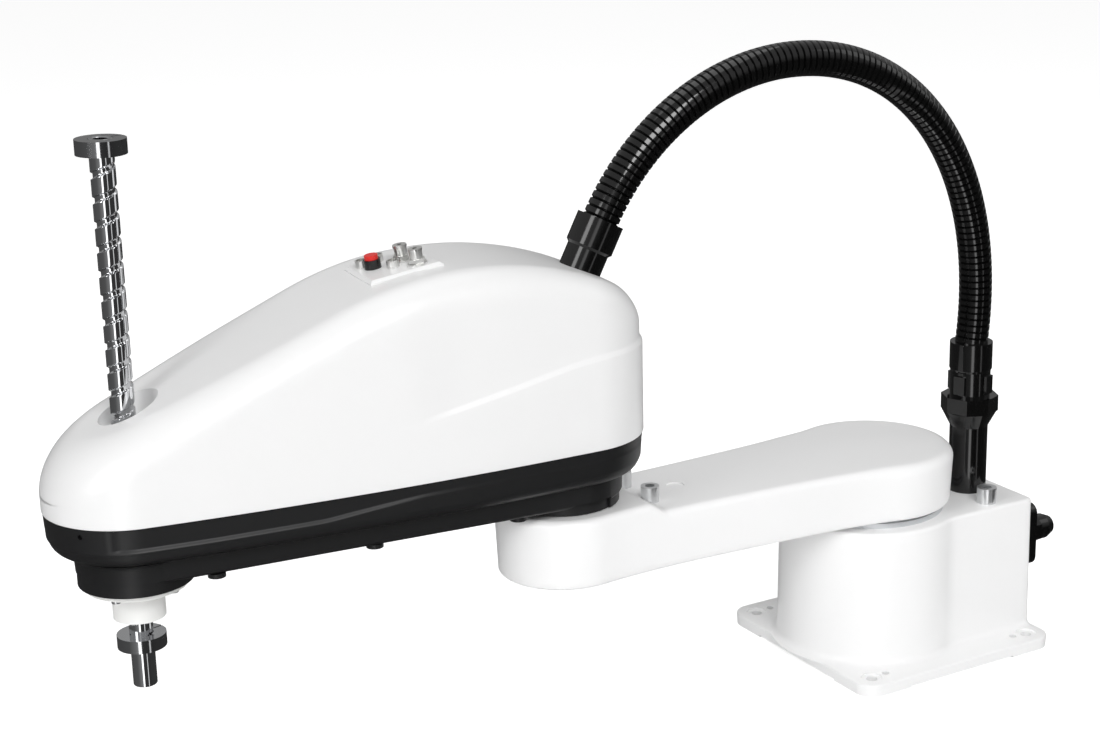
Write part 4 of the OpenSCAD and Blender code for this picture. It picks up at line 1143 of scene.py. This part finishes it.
class ARM_OT_shaft(bpy.types.Operator):
    """Hollow tool shaft with its screw and spline grooves"""
    bl_idname = "arm.shaft"
    bl_label = "Tool shaft"

    def execute(self, context):
        z0, z1 = (float(corner[2]) for corner in node_mm("z_shaft"))
        a = np.arange(96) * 2 * np.pi / 96
        z = np.concatenate([[z0 + SHAFT_EDGE],
                            np.arange(z0 + 1, z1 - 0.5, 0.45),
                            [z1 - SHAFT_EDGE]])
        sizes = context.scene.arm_sizes
        grid_a, grid_z = np.meshgrid(a, z)
        r = SHAFT_R - shaft_depth(grid_a, grid_z, z0, z1,
                                  sizes.screw_lead / MM,
                                  sizes.groove_width / MM)
        skin = np.stack([r * np.cos(grid_a), r * np.sin(grid_a), grid_z], -1)
        bore, chamfer = SHAFT_BORE_R, SHAFT_BORE_R + SHAFT_EDGE
        outer = SHAFT_R - SHAFT_EDGE

        def ring(radius, height):
            return np.stack([radius * np.cos(a), radius * np.sin(a),
                             0 * a + height], -1)

        rings = [ring(bore, z1 - SHAFT_EDGE), ring(bore, z0 + SHAFT_EDGE),
                 ring(chamfer, z0), ring(outer, z0), *skin,
                 ring(outer, z1), ring(chamfer, z1),
                 ring(bore, z1 - SHAFT_EDGE)]
        pts = np.concatenate(rings) + np.array([TOOL[0], TOOL[1], 0])
        shaft = make_piece("shaft_screw", pts,
                           ring_faces(len(rings), len(a)),
                           finish("bright_steel"), "tool_shaft_body",
                           sharp=30)
        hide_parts("z_shaft")
        return {"FINISHED"}


def bezier(c, t):
    """Cubic curve of four control points: u^3 c0 + 3 u^2 t c1 + 3 u t^2 c2
    + t^3 c3, with u = 1 - t."""
    u = 1 - t
    return (u ** 3 * c[0] + 3 * u * u * t * c[1] + 3 * u * t * t * c[2]
            + t ** 3 * c[3])


def hose_curves():
    """Control points of the two halves of the hose, the direction square
    to its plane and the one in which it enters the cover."""
    low, high = node_mm("hose_lower_fitting")
    start = np.append(((low + high) / 2)[:2], high[2])
    entry = entry_frame()
    axis = entry[:3, 2]
    end = entry[:3, 3] + SLEEVE_REACH * axis
    plan = np.array([end[0] - start[0], end[1] - start[1], 0.0])
    plan /= np.linalg.norm(plan)
    up = np.array([0, 0, 1.0])
    crown = np.append(start[:2], CROWN_Z) + CROWN_OUT * plan
    first = [start, start - START_BACK * plan + START_PULL * up,
             crown - RISE_PULL * plan, crown]
    second = [crown, crown + FALL_PULL * plan, end + ENTRY_PULL * axis, end]
    return first, second, np.cross(plan, up), axis


def ribbed_hose(path, side, pitch, per=12, count=40):
    """A tube round a path whose radius falls once each pitch of length, by
    RIB_DEPTH times 3 cos(2 pi phase) - 2 where that is above 0."""
    step = np.linalg.norm(np.diff(path, axis=0), axis=1)
    run = np.concatenate([[0], np.cumsum(step)])
    total = run[-1]
    ribs = round(total / pitch)
    s = np.linspace(0, total, ribs * per + 1)
    mid = np.stack([np.interp(s, run, path[:, k]) for k in range(3)], -1)
    tang = np.gradient(mid, axis=0)
    tang /= np.linalg.norm(tang, axis=1)[:, None]
    out = np.cross(tang, side)
    out /= np.linalg.norm(out, axis=1)[:, None]
    across = np.cross(out, tang)
    phase = (s / total * ribs) % 1
    valley = np.clip(np.cos(2 * np.pi * phase) * 3 - 2, 0, 1)
    r = HOSE_R - 0.1 - RIB_DEPTH * valley
    a = np.arange(count) * 2 * np.pi / count
    rings = (mid[:, None] + r[:, None, None]
             * (np.cos(a)[None, :, None] * across[:, None]
                + np.sin(a)[None, :, None] * out[:, None]))
    low, high = (np.repeat(end[None, None], count, 1)
                 for end in (mid[0], mid[-1]))
    rings = np.concatenate([low, rings, high])
    return rings.reshape(-1, 3), ring_faces(len(rings), count)


class ARM_OT_hose(bpy.types.Operator):
    """Ribbed cable hose in two halves that meet at the crown"""
    bl_idname = "arm.hose"
    bl_label = "Cable hose"

    def execute(self, context):
        first, second, side, axis = hose_curves()
        t = np.linspace(0, 1, 240)[:, None]
        foot = first[0] - np.array([0, 0, HOSE_SEAT])
        tail = second[3] - HOSE_SEAT * axis
        paths = (("hose_rise", [foot[None], bezier(first, t)]),
                 ("hose_fall", [bezier(second, t), tail[None]]))
        pitch = context.scene.arm_sizes.hose_pitch / MM
        made = [make_piece(name, *ribbed_hose(np.concatenate(path), side,
                                              pitch),
                           finish("hose_polyamide"), sharp=60)
                for name, path in paths]
        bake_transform(made[0])
        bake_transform(made[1])
        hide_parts("cable_hose")
        return {"FINISHED"}


class ARM_OT_finishes(bpy.types.Operator):
    """Finishes on the solids that stay as they are"""
    bl_idname = "arm.finishes"
    bl_label = "Finishes"

    def execute(self, context):
        slots = {p["node"]: p["material_slot"]
                 for p in frame["record"]["subparts"]}
        for name, node in frame["nodes"].items():
            node.data.materials.clear()
            node.data.materials.append(finish(slots[name]))
        return {"FINISHED"}


PIECES = (ARM_OT_stage, ARM_OT_finishes, ARM_OT_base, ARM_OT_upper_arm,
          ARM_OT_forearm, ARM_OT_cover, ARM_OT_shaft, ARM_OT_hose)


class ARM_PT_panel(bpy.types.Panel):
    """Lists the arm's operators and sizes"""
    bl_idname = "ARM_PT_panel"
    bl_label = "Arm"
    bl_space_type = "VIEW_3D"
    bl_region_type = "UI"
    bl_category = "Arm"

    def draw(self, context):
        for group in (context.scene.arm_sizes, context.scene.arm_colours):
            for name in group.__annotations__:
                self.layout.prop(group, name)
        for piece in PIECES:
            self.layout.operator(piece.bl_idname)


CLASSES = (ArmSizes, ArmColours, *PIECES, ARM_PT_panel)


def register():
    """Makes the classes and the scene's settings known to Blender."""
    for cls in CLASSES:
        bpy.utils.register_class(cls)
    bpy.types.Scene.arm_sizes = bpy.props.PointerProperty(type=ArmSizes)
    bpy.types.Scene.arm_colours = bpy.props.PointerProperty(type=ArmColours)


def unregister():
    """Undoes register."""
    del bpy.types.Scene.arm_sizes
    del bpy.types.Scene.arm_colours
    for cls in reversed(CLASSES):
        bpy.utils.unregister_class(cls)


def main():
    """Runs every operator in order."""
    register()
    for piece in PIECES:
        group, name = piece.bl_idname.split(".")
        getattr(getattr(bpy.ops, group), name)()


if __name__ == "__main__":
    main()
